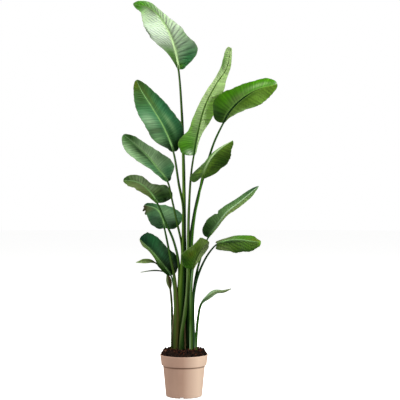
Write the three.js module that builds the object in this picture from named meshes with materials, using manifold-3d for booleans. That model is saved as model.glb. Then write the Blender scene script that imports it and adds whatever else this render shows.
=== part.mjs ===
// A white bird of paradise about two metres tall, growing in a round nursery pot.
// Millimetres, +Z up. The origin is the middle of the pot's underside, and the front faces -Y.

import * as THREE from "three";
import { mergeVertices } from "three/addons/utils/BufferGeometryUtils.js";
import Module from "manifold-3d";

const wasm = await Module();
wasm.setup();

// Gap between neighbouring solids, and between a stalk and its hole in the soil.
const clearance = 0.3;
const roundSides = 40;

const pot = {
  height: 212,
  rimRadius: 120,
  wall: 2.6,
  rimRound: 1,
  footRadius: 87,
  footWidth: 8,
  centreDiscRadius: 30,
  recess: 3.5,
  floorTop: 6,
  cornerRadius: 90.5,
  bandBottom: 154,
  bandStep: 4,
  radiusUnderBand: 105.6,
  bandRadius: 113.4,
  drainHoles: 8,
  drainHoleRadius: 4.5,
  drainHoleSides: 10,
  drainCircleRadius: 58,
  notches: 8,
  notchWidth: 20,
  notchHeight: 5,
};

const soil = {
  edgeLevel: 210,
  crown: 20,
  crownEdge: 0.35,
  lumpHeight: 4,
  lumpEdge: 0.12,
  // Lengths along X and Y of the lumps, and of the slanting ridges that cross them.
  lumpLengths: [33, 27],
  ridgeLengths: [90, -15],
  ridgeShare: 0.6,
  rings: [1, 0.9, 0.78, 0.64, 0.5, 0.34, 0.18],
};

const stalk = {
  sides: 8,
  steps: 13,
  knobSteps: 4,
  // Depth of the channel as a share of the half depth, and how sharply it is cut.
  channel: 0.3,
  channelSharpness: 6,
  // Shares of the length between which the sheath narrows, and from which the stalk turns with its leaf.
  sheathFrom: 0.04,
  sheathTo: 0.4,
  turnFrom: 0.45,
  // Turn about its own line at the soil, with the channel towards the middle of the clump.
  inwardRoll: 90,
};

const drySheath = {
  steps: 8,
  width: 15,
  depth: 4,
  // Shares of the width and of the depth that are lost towards the tip.
  narrowing: 0.92,
  narrowingPower: 2.5,
  thinning: 0.5,
};

const blade = {
  thickness: 1.2,
  // Share of the length at which each row of points lies, closer together at the basal lobes.
  rows: [0, 0.016, 0.06, 0.13, 0.22, 0.32, 0.43, 0.54, 0.65, 0.76, 0.86, 0.94, 1],
  // Share of the way from the midrib's side to the margin at which each column lies.
  columns: [0, 0.34, 0.68, 1],
  // Share of the length at which each leaf gives its left and right half widths.
  widthStations: [0.07, 0.2, 0.4, 0.6, 0.8],
  // Angle in degrees by which the halves lean forward: at the basal lobes, then evenly on to the tip.
  lobe: -30,
  lean: [8, 22, 34, 40],
  tipRound: 0.7,
  tipRib: 0.8,
  ribTaper: 0.8,
  // Heights above the middle of the midrib, as shares of its radius.
  laminaRise: 0.6,
  channelRise: 0.3,
  keelDrop: 1,
  leastReach: 1.5,
  leastCurl: 0.01,
  // Waves along each margin, the shift between the two halves and between leaves as shares of a wave,
  // and the half width at which a leaf's wave has its full height.
  waves: 3,
  sideShift: 0.25,
  phaseStep: 0.37,
  waveWidth: 80,
};

const colours = {
  pot: 0xc79a80,
  soil: 0x2c1d16,
  darkLeaf: 0x35513f,
  oliveLeaf: 0x66733c,
  freshLeaf: 0x9aa64a,
  darkStalk: 0x5f7a49,
  oliveStalk: 0x76773f,
  paleStalk: 0x8fa583,
  drySheath: 0xb9a883,
};

// Each leaf: the way of its stalk up from the roots, then the way of its midrib on to the tip.
// sheath is the stalk's depth and breadth at the soil, neck its thickness where the blade begins.
// left and right are the half widths at the width stations, seen from the upper side.
// roll is the turn about the midrib in degrees at base and tip, 0 with the upper side to the front.
// fold is the rise of the left and right half from flat, curl how much more they bend to the margin.
// bare is the share of the blade's length that is stem only, lobe its own lean at the basal lobes.
const leaves = [
  {
    name: "01",
    stalk: [[2, 24, 150], [2, 24, 235], [1, 22, 500], [0, 20, 788], [1, 14, 992], [-4, 14, 1246],
      [-11, 22, 1425], [-29, 45, 1659]],
    sheath: [24, 21],
    neck: 10,
    colour: "darkStalk",
    blade: [[-56, 75, 1791], [-106, 105, 1907], [-178, 110, 1980], [-262, 80, 2000]],
    bladeColour: "freshLeaf",
    left: [32, 68, 105, 92, 48],
    right: [52, 116, 66, 30, 24],
    roll: [35, -35],
    fold: [25, 25],
    curl: -30,
    wave: 4,
  },
  {
    name: "02",
    stalk: [[-6, -4, 150], [-6, -4, 240], [-4, -8, 500], [-3, -12, 700], [-1, -14, 866],
      [-5, -18, 967], [-25, -28, 1068], [-53, -40, 1234]],
    sheath: [22, 18],
    neck: 10,
    colour: "darkStalk",
    blade: [[-101, -25, 1356], [-161, -2, 1460], [-243, 34, 1604]],
    bladeColour: "darkLeaf",
    left: [36, 85, 88, 70, 40],
    right: [50, 85, 76, 58, 34],
    roll: [30, -5],
    fold: [20, 25],
    curl: -20,
    wave: 4,
  },
  {
    name: "03",
    stalk: [[-22, 24, 150], [-22, 24, 235], [-18, 14, 500], [-11, 2, 756], [-32, -6, 864],
      [-61, -6, 995], [-83, 0, 1084]],
    sheath: [22, 19],
    neck: 9,
    colour: "darkStalk",
    blade: [[-130, 20, 1147], [-190, 45, 1219], [-252, 60, 1277], [-310, 62, 1328]],
    bladeColour: "darkLeaf",
    left: [28, 50, 73, 72, 46],
    right: [40, 88, 63, 42, 30],
    roll: [45, 0],
    fold: [25, 25],
    curl: -20,
    wave: 4,
  },
  {
    name: "04",
    stalk: [[-28, -4, 150], [-28, -4, 235], [-26, -8, 450], [-25, -14, 663], [-52, -6, 783],
      [-96, 4, 884], [-135, 14, 974]],
    sheath: [22, 20],
    neck: 9,
    colour: "oliveStalk",
    blade: [[-177, 40, 1035], [-216, 62, 1069], [-255, 78, 1088], [-313, 80, 1095]],
    bladeColour: "darkLeaf",
    left: [23, 44, 68, 57, 30],
    right: [56, 104, 45, 39, 28],
    roll: [45, 20],
    fold: [30, 30],
    curl: -20,
    wave: 4,
  },
  {
    name: "05",
    stalk: [[-43, -30, 150], [-43, -30, 240], [-46, -24, 450], [-53, -16, 606], [-69, 2, 687],
      [-85, 28, 775], [-101, 56, 846]],
    sheath: [24, 20],
    neck: 9,
    colour: "oliveStalk",
    blade: [[-117, 120, 905], [-150, 195, 947], [-201, 270, 973]],
    bladeColour: "darkLeaf",
    left: [40, 66, 66, 56, 40],
    right: [50, 98, 70, 38, 20],
    roll: [20, 0],
    fold: [15, 15],
    curl: -25,
    wave: 4,
  },
  {
    name: "06",
    stalk: [[-50, -2, 150], [-50, -2, 235], [-50, 2, 400], [-52, 6, 525], [-64, 16, 580],
      [-78, 28, 621]],
    sheath: [22, 16],
    neck: 8,
    colour: "oliveStalk",
    blade: [[-117, 48, 669], [-165, 66, 741], [-220, 76, 815]],
    bladeColour: "darkLeaf",
    left: [50, 55, 45, 55, 40],
    right: [62, 100, 74, 55, 33],
    roll: [15, 0],
    fold: [55, 30],
    curl: -10,
    wave: 4,
  },
  {
    name: "07a",
    stalk: [[-60, 28, 150], [-60, 28, 235], [-63, 34, 458], [-75, 44, 564], [-83, 48, 588]],
    sheath: [10, 9],
    neck: 6,
    knob: { swell: 8, length: 48 },
    colour: "oliveStalk",
    blade: [[-96, 66, 606], [-125, 95, 644], [-166, 100, 675], [-205, 100, 677], [-249, 95, 670]],
    bladeColour: "oliveLeaf",
    bare: 0.35,
    left: [7, 11, 13, 11, 7],
    right: [6, 10, 13, 12, 7],
    roll: [20, 20],
    fold: [20, 20],
    curl: 0,
    wave: 2,
  },
  {
    name: "07b",
    neck: 4,
    blade: [[-88.6, 41.6, 583.4], [-101, 43, 612], [-135, 42, 628], [-175, 34, 629], [-221, 25, 623]],
    bladeColour: "oliveLeaf",
    bare: 0.2,
    left: [4, 5, 5, 4, 3],
    right: [4, 5, 5, 4, 3],
    roll: [40, 40],
    fold: [50, 50],
    curl: 0,
    wave: 1,
  },
  {
    name: "08",
    stalk: [[-20, -31, 150], [-20, -31, 225], [-14, -31, 320], [2, -30, 420], [17, -28, 538],
      [21, -34, 781], [25, -44, 942], [36, -64, 1117], [50, -84, 1214]],
    sheath: [22, 18],
    neck: 9,
    colour: "darkStalk",
    blade: [[72, -100, 1333], [106, -116, 1460], [155, -128, 1565], [200, -136, 1650], [230, -140, 1743]],
    bladeColour: "freshLeaf",
    left: [26, 38, 73, 60, 34],
    right: [90, 80, 34, 22, 30],
    roll: [-145, -215],
    fold: [40, 45],
    curl: 0,
    wave: 4,
  },
  {
    name: "09",
    stalk: [[26, 24, 150], [26, 24, 235], [27, 12, 480], [28, -2, 663], [37, -12, 800],
      [63, -36, 977], [111, -70, 1151], [151, -98, 1278], [196, -122, 1372]],
    sheath: [22, 19],
    neck: 9,
    colour: "darkStalk",
    blade: [[225, -134, 1424], [279, -150, 1492], [357, -162, 1542], [460, -170, 1568]],
    bladeColour: "freshLeaf",
    left: [20, 45, 90, 84, 50],
    right: [60, 92, 66, 40, 36],
    roll: [-140, -190],
    fold: [25, 28],
    curl: -10,
    wave: 4,
  },
  {
    name: "10",
    stalk: [[16, -4, 150], [16, -4, 235], [24, -10, 430], [31, -18, 560], [35, -30, 670],
      [37, -42, 770], [54, -66, 917], [76, -94, 1017], [91, -118, 1101]],
    sheath: [22, 17],
    neck: 9,
    colour: "paleStalk",
    blade: [[116, -132, 1167], [148, -144, 1216], [190, -154, 1253], [242, -162, 1285]],
    bladeColour: "oliveLeaf",
    lobe: -60,
    left: [40, 82, 88, 70, 33],
    right: [68, 30, 20, 14, 12],
    roll: [-150, -225],
    fold: [35, 50],
    curl: -10,
    wave: 4,
  },
  {
    name: "11",
    stalk: [[50, 25, 150], [50, 25, 235], [46, 24, 483], [55, 20, 576], [78, 8, 677], [122, -15, 801]],
    sheath: [22, 17],
    neck: 8,
    colour: "darkStalk",
    blade: [[157, -28, 873], [212, -36, 941], [285, -36, 987], [377, -25, 1062]],
    bladeColour: "oliveLeaf",
    left: [15, 26, 33, 22, 14],
    right: [42, 56, 30, 22, 18],
    roll: [-165, -175],
    fold: [40, 45],
    curl: -10,
    wave: 4,
  },
  {
    name: "12",
    stalk: [[40, -3, 150], [40, -3, 235], [43, 2, 461], [61, 2, 578], [96, 6, 671], [134, 10, 733],
      [169, 14, 768]],
    sheath: [22, 17],
    neck: 8,
    colour: "paleStalk",
    blade: [[227, 10, 787], [285, 0, 790], [343, -12, 783], [388, -25, 779]],
    bladeColour: "oliveLeaf",
    left: [30, 52, 74, 78, 34],
    right: [38, 66, 74, 58, 30],
    roll: [-55, -55],
    fold: [-12, -12],
    curl: -20,
    wave: 4,
  },
  {
    name: "13",
    stalk: [[34, -31, 150], [34, -31, 240], [33, -52, 440], [38, -62, 571], [46, -78, 647]],
    sheath: [22, 19],
    neck: 9,
    colour: "paleStalk",
    blade: [[61, -130, 700], [86, -200, 748], [122, -290, 793]],
    bladeColour: "oliveLeaf",
    left: [12, 30, 44, 42, 22],
    right: [58, 82, 64, 50, 36],
    roll: [-180, -180],
    fold: [60, 15],
    curl: -20,
    wave: 4,
  },
  {
    name: "14",
    stalk: [[58, -31, 150], [58, -31, 235], [64, -31, 330], [70, -30, 387], [87, -28, 467]],
    sheath: [14, 10],
    neck: 7,
    colour: "paleStalk",
    blade: [[121, -35, 501], [159, -42, 529], [199, -55, 533], [237, -66, 547]],
    bladeColour: "oliveLeaf",
    left: [9, 13, 14, 12, 8],
    right: [9, 13, 14, 12, 8],
    roll: [-150, -150],
    fold: [35, 35],
    curl: 0,
    wave: 3,
  },
];

// Pointed dry sheaths that stand between the stalks.
const drySheaths = [
  {
    name: "left",
    way: [[-60, -17, 150], [-60, -17, 235], [-57, -19, 330], [-52, -20, 415]],
    roll: 75,
  },
  {
    name: "middle",
    way: [[7, -21, 150], [7, -21, 235], [4, -19, 400], [2, -18, 513]],
    roll: 10,
  },
];

const roughness = {
  pot: 0.6,
  soil: 1,
  stalk: 0.45,
  blade: 0.35,
  drySheath: 0.8,
};

const degrees = THREE.MathUtils.degToRad;
const lerp = THREE.MathUtils.lerp;
const clamp = THREE.MathUtils.clamp;

function smooth(from, to, value) {
  return THREE.MathUtils.smoothstep(value, from, to);
}

// A smooth way through points, with its length and the length of its first stretch.
function wayThrough(points, firstCount) {
  const curve = new THREE.CatmullRomCurve3(points.map((p) => new THREE.Vector3(...p)), false, "centripetal");
  const divisionsPerSpan = 30;
  curve.arcLengthDivisions = divisionsPerSpan * (points.length - 1);
  const lengths = curve.getLengths();
  const firstLength = lengths[divisionsPerSpan * Math.max(firstCount - 1, 0)];
  return { curve, length: lengths[lengths.length - 1], firstLength };
}

function wayOfLeaf(leaf) {
  const stalkPoints = leaf.stalk ?? [];
  return wayThrough([...stalkPoints, ...leaf.blade], stalkPoints.length);
}

// Place and directions at a distance along a way: along is forward, up is out of the upper side.
function frameAt(way, distance, rollDegrees) {
  const share = clamp(distance / way.length, 0, 1);
  const at = way.curve.getPointAt(share);
  const along = way.curve.getTangentAt(share);
  const front = new THREE.Vector3(0, -1, 0);
  front.addScaledVector(along, -front.dot(along)).normalize();
  const side = new THREE.Vector3().crossVectors(along, front);
  const roll = degrees(rollDegrees);
  const up = front.clone().multiplyScalar(Math.cos(roll)).addScaledVector(side, Math.sin(roll));
  return { at, along, up, side: new THREE.Vector3().crossVectors(along, up) };
}

function pointOf(frame, across, lift, forward) {
  return frame.at
    .clone()
    .addScaledVector(frame.side, across)
    .addScaledVector(frame.up, lift)
    .addScaledVector(frame.along, forward);
}

function geometryFrom(positions, triangles) {
  const geometry = new THREE.BufferGeometry();
  const numbers = positions.flatMap((p) => p.toArray());
  geometry.setAttribute("position", new THREE.Float32BufferAttribute(numbers, 3));
  geometry.setIndex(triangles);
  geometry.computeVertexNormals();
  return geometry;
}

// A closed solid through rings that all have the same count of points.
function loft(rings) {
  const count = rings[0].length;
  const positions = rings.flat();
  const triangles = [];
  for (let i = 0; i < rings.length - 1; i++) {
    for (let k = 0; k < count; k++) {
      const a = i * count + k;
      const b = i * count + ((k + 1) % count);
      triangles.push(a, b, b + count, a, b + count, a + count);
    }
  }
  for (const end of [0, rings.length - 1]) {
    const middle = new THREE.Vector3();
    rings[end].forEach((p) => middle.addScaledVector(p, 1 / count));
    const centre = positions.push(middle) - 1;
    for (let k = 0; k < count; k++) {
      const a = end * count + k;
      const b = end * count + ((k + 1) % count);
      triangles.push(...(end === 0 ? [b, a, centre] : [a, b, centre]));
    }
  }
  return geometryFrom(positions, triangles);
}

// An oval ring about a frame, with a shallow channel along its upper side.
function stalkRing(frame, halfWidth, halfDepth, forward) {
  const ring = [];
  for (let k = 0; k < stalk.sides; k++) {
    const angle = (2 * Math.PI * k) / stalk.sides;
    const channel = stalk.channel * halfDepth * Math.max(0, Math.sin(angle)) ** stalk.channelSharpness;
    ring.push(pointOf(frame, -halfWidth * Math.cos(angle), halfDepth * Math.sin(angle) - channel, forward));
  }
  return ring;
}

// A leaf stalk: a broad clasping sheath at the soil that narrows to a channelled stalk.
function stalkRings(leaf, grow) {
  const way = wayOfLeaf(leaf);
  const last = way.firstLength - clearance;
  const knob = leaf.knob ?? { swell: 0, length: 0 };
  const distances = [];
  for (let i = 0; i <= stalk.steps; i++) distances.push(((last - knob.length) * i) / stalk.steps);
  if (knob.length > 0) {
    for (let i = 1; i <= stalk.knobSteps; i++) {
      distances.push(last - knob.length * (1 - i / stalk.knobSteps));
    }
  }
  const inward = Math.sign(leaf.roll[0]) * stalk.inwardRoll;
  return distances.map((distance, i) => {
    const share = distance / last;
    const roll = lerp(inward, leaf.roll[0], smooth(stalk.turnFrom, 1, share));
    const upKnob = knob.length > 0 ? clamp((last - distance) / knob.length, 0, 1) : 0;
    const swell = knob.swell * Math.sin(Math.PI * upKnob);
    const depth = lerp(leaf.sheath[1], leaf.neck, share) + 2 * swell;
    const width = lerp(leaf.sheath[0], depth, smooth(stalk.sheathFrom, stalk.sheathTo, share));
    const frame = frameAt(way, distance, roll);
    return stalkRing(frame, width / 2 + grow, depth / 2 + grow, i === 0 ? -grow : 0);
  });
}

function drySheathRings(sheath, grow) {
  const way = wayThrough(sheath.way, 1);
  const rings = [];
  for (let i = 0; i <= drySheath.steps; i++) {
    const share = i / drySheath.steps;
    const frame = frameAt(way, share * way.length, sheath.roll);
    const narrow = 1 - drySheath.narrowing * share ** drySheath.narrowingPower;
    const halfWidth = (drySheath.width / 2) * narrow + grow;
    const halfDepth = (drySheath.depth / 2) * (1 - drySheath.thinning * share) + grow;
    rings.push(stalkRing(frame, halfWidth, halfDepth, i === 0 ? -grow : 0));
  }
  return rings;
}

// Half width of a blade at a share of its length, on a smooth line through the widths at the stations.
function halfWidthAt(widths, share) {
  const stations = blade.widthStations;
  const first = stations[0];
  const last = stations[stations.length - 1];
  const inside = clamp(share, first, last);
  let i = 0;
  while (i < widths.length - 2 && inside > stations[i + 1]) i++;
  const slope = (k) => {
    const before = Math.max(k - 1, 0);
    const after = Math.min(k + 1, widths.length - 1);
    return (widths[after] - widths[before]) / (stations[after] - stations[before]);
  };
  const span = stations[i + 1] - stations[i];
  const u = (inside - stations[i]) / span;
  const width =
    widths[i] * (1 + 2 * u) * (1 - u) ** 2 +
    slope(i) * span * u * (1 - u) ** 2 +
    widths[i + 1] * u ** 2 * (3 - 2 * u) +
    slope(i + 1) * span * u ** 2 * (u - 1);
  const baseRound = Math.sqrt(Math.min(share / first, 1));
  const tipRound = Math.min((1 - share) / (1 - last), 1) ** blade.tipRound;
  return width * baseRound * tipRound;
}

function leanAt(leaf, share) {
  const lean = [leaf.lobe ?? blade.lobe, ...blade.lean];
  const place = share * (lean.length - 1);
  const index = Math.min(Math.floor(place), lean.length - 2);
  return degrees(lerp(lean[index], lean[index + 1], place - index));
}

// Points of one half of a blade across a row, from the midrib's side to the margin, as top and bottom.
function halfRow(leaf, frame, share, side, rib, phase) {
  const width = halfWidthAt(side < 0 ? leaf.left : leaf.right, share);
  const reach = Math.max(width - rib, blade.leastReach);
  const start = degrees(leaf.fold[side < 0 ? 0 : 1]);
  const bend = degrees(leaf.curl || blade.leastCurl);
  const ripple = Math.sin(2 * Math.PI * (blade.waves * share + blade.sideShift * side + phase));
  return blade.columns.map((column) => {
    const angle = start + bend * column;
    const across = rib + (reach * (Math.sin(angle) - Math.sin(start))) / bend;
    const bow = (reach * (Math.cos(start) - Math.cos(angle))) / bend;
    const wave = leaf.wave * column ** 2 * ripple * (width / blade.waveWidth);
    const lift = blade.laminaRise * rib + bow + wave;
    const forward = (across - rib) * Math.tan(leanAt(leaf, share));
    const half = blade.thickness / 2;
    const outAcross = -side * Math.sin(angle) * half;
    const outLift = Math.cos(angle) * half;
    return {
      top: pointOf(frame, side * across + outAcross, lift + outLift, forward),
      bottom: pointOf(frame, side * across - outAcross, lift - outLift, forward),
    };
  });
}

function bladeGeometry(leaf, phase) {
  const way = wayOfLeaf(leaf);
  const length = way.length - way.firstLength;
  const bare = leaf.bare ?? 0;
  const rows = bare > 0 ? [0, bare / 2, ...blade.rows.map((row) => lerp(bare, 1, row))] : blade.rows;
  const tops = [];
  const bottoms = [];
  for (const row of rows) {
    const share = Math.max(0, (row - bare) / (1 - bare));
    const frame = frameAt(way, way.firstLength + row * length, lerp(leaf.roll[0], leaf.roll[1], row));
    const rib = (leaf.neck / 2) * (1 - row) ** blade.ribTaper + blade.tipRib;
    const left = halfRow(leaf, frame, share, -1, rib, phase).reverse();
    const right = halfRow(leaf, frame, share, 1, rib, phase);
    const middle = {
      top: pointOf(frame, 0, blade.channelRise * rib + blade.thickness / 2, 0),
      bottom: pointOf(frame, 0, -blade.keelDrop * rib, 0),
    };
    const line = [...left, middle, ...right];
    tops.push(line.map((point) => point.top));
    bottoms.push(line.map((point) => point.bottom));
  }
  return sheetGeometry(tops, bottoms);
}

// A thin closed solid between two grids of points, split into triangles alike on both faces.
function sheetGeometry(tops, bottoms) {
  const rows = tops.length;
  const columns = tops[0].length;
  const middle = (columns - 1) / 2;
  const positions = [...tops.flat(), ...bottoms.flat()];
  const lower = rows * columns;
  const triangles = [];
  const index = (row, column) => row * columns + column;
  for (let row = 0; row < rows - 1; row++) {
    for (let column = 0; column < columns - 1; column++) {
      const a = index(row, column);
      const b = index(row, column + 1);
      const c = index(row + 1, column + 1);
      const d = index(row + 1, column);
      const split = column < middle ? [a, b, d, b, c, d] : [a, b, c, a, c, d];
      const under = split.map((corner) => corner + lower).reverse();
      triangles.push(...split, ...under);
    }
  }
  const border = [];
  for (let column = 0; column < columns - 1; column++) border.push(index(0, column));
  for (let row = 0; row < rows - 1; row++) border.push(index(row, columns - 1));
  for (let column = columns - 1; column > 0; column--) border.push(index(rows - 1, column));
  for (let row = rows - 1; row > 0; row--) border.push(index(row, 0));
  border.forEach((a, k) => {
    const b = border[(k + 1) % border.length];
    triangles.push(b, a, a + lower, b, a + lower, b + lower);
  });
  return geometryFrom(positions, triangles);
}

function mergedPositions(geometry) {
  const plain = geometry.clone();
  plain.deleteAttribute("normal");
  plain.deleteAttribute("uv");
  return mergeVertices(plain, 1e-4);
}

function toSolid(geometry) {
  const merged = mergedPositions(geometry);
  const mesh = new wasm.Mesh({
    numProp: 3,
    vertProperties: merged.attributes.position.array,
    triVerts: Uint32Array.from(merged.index.array),
  });
  return new wasm.Manifold(mesh);
}

function toGeometry(solid) {
  const mesh = solid.getMesh();
  const geometry = new THREE.BufferGeometry();
  geometry.setAttribute("position", new THREE.Float32BufferAttribute(mesh.vertProperties, 3));
  geometry.setIndex(Array.from(mesh.triVerts));
  geometry.computeVertexNormals();
  return geometry;
}

// A body of revolution about Z from [radius, height] points that start and end on the axis.
function turned(profile) {
  const outline = profile.map((p) => new THREE.Vector2(...p));
  return new THREE.LatheGeometry(outline, roundSides).rotateX(Math.PI / 2);
}

// The inside of the pot's wall from the floor's corner up to the rim, as [radius, height] points.
const potInside = [
  [pot.cornerRadius - 2 * pot.wall, pot.floorTop],
  [pot.cornerRadius - pot.wall, pot.floorTop + pot.wall],
  [pot.radiusUnderBand - pot.wall, pot.bandBottom + pot.wall],
  [pot.bandRadius - pot.wall, pot.bandBottom + pot.bandStep + pot.wall],
  [pot.rimRadius - pot.wall, pot.height - pot.rimRound],
];

function potGeometry() {
  const recessIn = pot.centreDiscRadius + pot.recess;
  const footIn = pot.footRadius - pot.footWidth;
  const profile = [
    [0, 0],
    [pot.centreDiscRadius, 0],
    [recessIn, pot.recess],
    [footIn - pot.recess, pot.recess],
    [footIn, 0],
    [pot.footRadius, 0],
    [pot.cornerRadius, pot.recess],
    [pot.radiusUnderBand, pot.bandBottom],
    [pot.bandRadius, pot.bandBottom + pot.bandStep],
    [pot.rimRadius, pot.height - pot.rimRound],
    [pot.rimRadius - pot.wall / 2, pot.height],
    ...potInside.toReversed(),
    [0, pot.floorTop],
  ];
  let solid = toSolid(turned(profile));
  for (let i = 0; i < pot.drainHoles; i++) {
    const angle = (2 * Math.PI * (i + 0.5)) / pot.drainHoles;
    const radius = pot.drainHoleRadius;
    const hole = new THREE.CylinderGeometry(radius, radius, 4 * pot.floorTop, pot.drainHoleSides);
    hole.rotateX(Math.PI / 2);
    hole.translate(pot.drainCircleRadius * Math.cos(angle), pot.drainCircleRadius * Math.sin(angle), 0);
    solid = solid.subtract(toSolid(hole));
  }
  for (let i = 0; i < pot.notches; i++) {
    const notch = new THREE.BoxGeometry(3 * pot.footWidth, pot.notchWidth, 2 * pot.notchHeight);
    notch.translate(pot.footRadius, 0, 0);
    notch.rotateZ((2 * Math.PI * i) / pot.notches - Math.PI / 2);
    solid = solid.subtract(toSolid(notch));
  }
  return toGeometry(solid);
}

// Height of the crumbly top of the soil over a place, with lumps that die away at the pot's wall.
function soilTop(x, y, edgeRadius) {
  const inward = 1 - Math.hypot(x, y) / edgeRadius;
  const turns = (place, lengths) => (2 * Math.PI * place) / lengths;
  const lumps = Math.sin(turns(x, soil.lumpLengths[0]) + 1) * Math.cos(turns(y, soil.lumpLengths[1]));
  const ridges = Math.sin(turns(x, soil.ridgeLengths[0]) + turns(y, soil.ridgeLengths[1]));
  const rough = lumps + soil.ridgeShare * ridges;
  const crown = soil.crown * smooth(0, soil.crownEdge, inward);
  return soil.edgeLevel + crown + soil.lumpHeight * rough * smooth(0, soil.lumpEdge, inward);
}

function soilGeometry(holes) {
  const [wallBelow, wallTop] = potInside.slice(-2);
  const up = (soil.edgeLevel - wallBelow[1]) / (wallTop[1] - wallBelow[1]);
  const edgeRadius = lerp(wallBelow[0], wallTop[0], up) - clearance;
  const profile = [
    [0, pot.floorTop + clearance],
    ...potInside.slice(0, -1).map(([radius, height]) => [radius - clearance, height + clearance]),
    ...soil.rings.map((ring) => [edgeRadius * ring, soil.edgeLevel]),
    [0, soil.edgeLevel],
  ];
  const geometry = mergedPositions(turned(profile));
  const place = geometry.attributes.position;
  for (let i = 0; i < place.count; i++) {
    const onTop = Math.abs(place.getZ(i) - soil.edgeLevel) < clearance;
    if (onTop) place.setZ(i, soilTop(place.getX(i), place.getY(i), edgeRadius));
  }
  let solid = toSolid(geometry);
  for (const hole of holes) solid = solid.subtract(hole);
  return toGeometry(solid);
}

function part(name, geometry, colour, surfaceRoughness) {
  const material = new THREE.MeshStandardMaterial({ color: colour, roughness: surfaceRoughness });
  const mesh = new THREE.Mesh(geometry, material);
  mesh.name = name;
  return mesh;
}

const plant = new THREE.Group();
// The flats between a stalk's corners lie inside its round, so its hole is a little wider than the gap.
const holeGrowth = 1.2 * clearance;
const stalkHoles = [];

leaves.forEach((leaf, i) => {
  if (leaf.stalk) {
    const stem = loft(stalkRings(leaf, 0));
    plant.add(part(`leaf_stalk_${leaf.name}`, stem, colours[leaf.colour], roughness.stalk));
    stalkHoles.push(toSolid(loft(stalkRings(leaf, holeGrowth))));
  }
  const geometry = bladeGeometry(leaf, blade.phaseStep * i);
  plant.add(part(`leaf_blade_${leaf.name}`, geometry, colours[leaf.bladeColour], roughness.blade));
});

for (const sheath of drySheaths) {
  const strip = loft(drySheathRings(sheath, 0));
  plant.add(part(`dry_sheath_${sheath.name}`, strip, colours.drySheath, roughness.drySheath));
  stalkHoles.push(toSolid(loft(drySheathRings(sheath, holeGrowth))));
}

plant.add(part("soil", soilGeometry(stalkHoles), colours.soil, roughness.soil));
plant.add(part("pot", potGeometry(), colours.pot, roughness.pot));

export default plant;
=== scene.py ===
import math
import random

import bmesh
import bpy
import numpy as np
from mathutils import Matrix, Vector


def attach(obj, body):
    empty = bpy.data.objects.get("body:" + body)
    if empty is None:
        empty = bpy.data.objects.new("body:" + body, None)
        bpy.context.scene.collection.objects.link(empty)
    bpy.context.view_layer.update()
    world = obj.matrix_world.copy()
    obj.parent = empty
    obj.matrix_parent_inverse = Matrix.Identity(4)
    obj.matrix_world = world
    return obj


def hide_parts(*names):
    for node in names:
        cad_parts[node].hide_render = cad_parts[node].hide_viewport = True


# Potted white bird of paradise. Metres, +Z up, the pot stands on z = 0 and its front faces -Y.
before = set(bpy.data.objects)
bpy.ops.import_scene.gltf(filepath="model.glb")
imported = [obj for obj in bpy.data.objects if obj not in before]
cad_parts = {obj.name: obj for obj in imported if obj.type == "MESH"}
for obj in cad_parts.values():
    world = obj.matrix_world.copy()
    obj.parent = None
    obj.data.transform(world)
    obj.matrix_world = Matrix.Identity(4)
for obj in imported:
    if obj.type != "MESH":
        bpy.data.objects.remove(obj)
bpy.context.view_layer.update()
print("frame loaded with", len(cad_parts), "nodes")


# small helpers for objects, nodes, colours and meshes
def addObject(name, data):
    thing = bpy.data.objects.new(name, data)
    bpy.context.scene.collection.objects.link(thing)
    return thing


def placePiece(piece, node):
    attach(piece, "root")
    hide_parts(node)
    return piece


def addNode(tree, kind, inputs=None, **settings):
    node = tree.nodes.new(kind)
    for key, value in settings.items():
        setattr(node, key, value)
    for key, value in (inputs or {}).items():
        if isinstance(value, bpy.types.NodeSocket):
            tree.links.new(value, node.inputs[key])
        else:
            node.inputs[key].default_value = value
    return node


def math2(tree, operation, a, b, clamp=False):
    node = addNode(tree, "ShaderNodeMath", {0: a, 1: b}, operation=operation, use_clamp=clamp)
    return node.outputs[0]


def awayFrom(tree, value, middle):
    return math2(tree, "ABSOLUTE", math2(tree, "SUBTRACT", value, middle), 0)


def mapRange(tree, value, places, results):
    inputs = {0: value, 1: places[0], 2: places[1], 3: results[0], 4: results[1]}
    return addNode(tree, "ShaderNodeMapRange", inputs).outputs[0]


def ramp(tree, value, places, shades):
    # from one shade to the other between two places, a shade is one grey or three channels
    node = addNode(tree, "ShaderNodeValToRGB", {"Fac": value})
    for element, place, shade in zip(node.color_ramp.elements, places, shades):
        element.position = place
        element.color = (shade, shade, shade, 1) if isinstance(shade, (int, float)) else (*shade, 1)
    return node.outputs["Color"]


def mixColour(tree, factor, a, b, blend="MIX"):
    node = addNode(tree, "ShaderNodeMix", data_type="RGBA", blend_type=blend)
    for socket, value in zip((node.inputs[0], node.inputs[6], node.inputs[7]), (factor, a, b)):
        if isinstance(value, bpy.types.NodeSocket):
            tree.links.new(value, socket)
        elif isinstance(value, tuple):
            socket.default_value = (*value, 1)
        else:
            socket.default_value = value
    return node.outputs[2]


def times(tree, a, b):
    return mixColour(tree, 1.0, a, b, "MULTIPLY")


def dull(tree, colour, value, low, high):
    # multiplies a colour by a grey between low and high
    return times(tree, colour, ramp(tree, value, (0.25, 0.75), (low, high)))


def shaded(tree, colour, value, amount):
    return dull(tree, colour, value, 1 - amount, 1 + amount)


def noise(tree, vector, scale, detail=2, roughness=0.5):
    # three scales stretch the noise
    if isinstance(scale, tuple):
        vector = addNode(tree, "ShaderNodeMapping", {"Vector": vector, "Scale": scale}).outputs[0]
        scale = 1
    inputs = {"Vector": vector, "Scale": scale, "Detail": detail, "Roughness": roughness}
    return addNode(tree, "ShaderNodeTexNoise", inputs).outputs["Fac"]


def newMaterial(name):
    material = bpy.data.materials.new(name)
    material.use_nodes = True
    material.node_tree.nodes.clear()
    return material, material.node_tree


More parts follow.
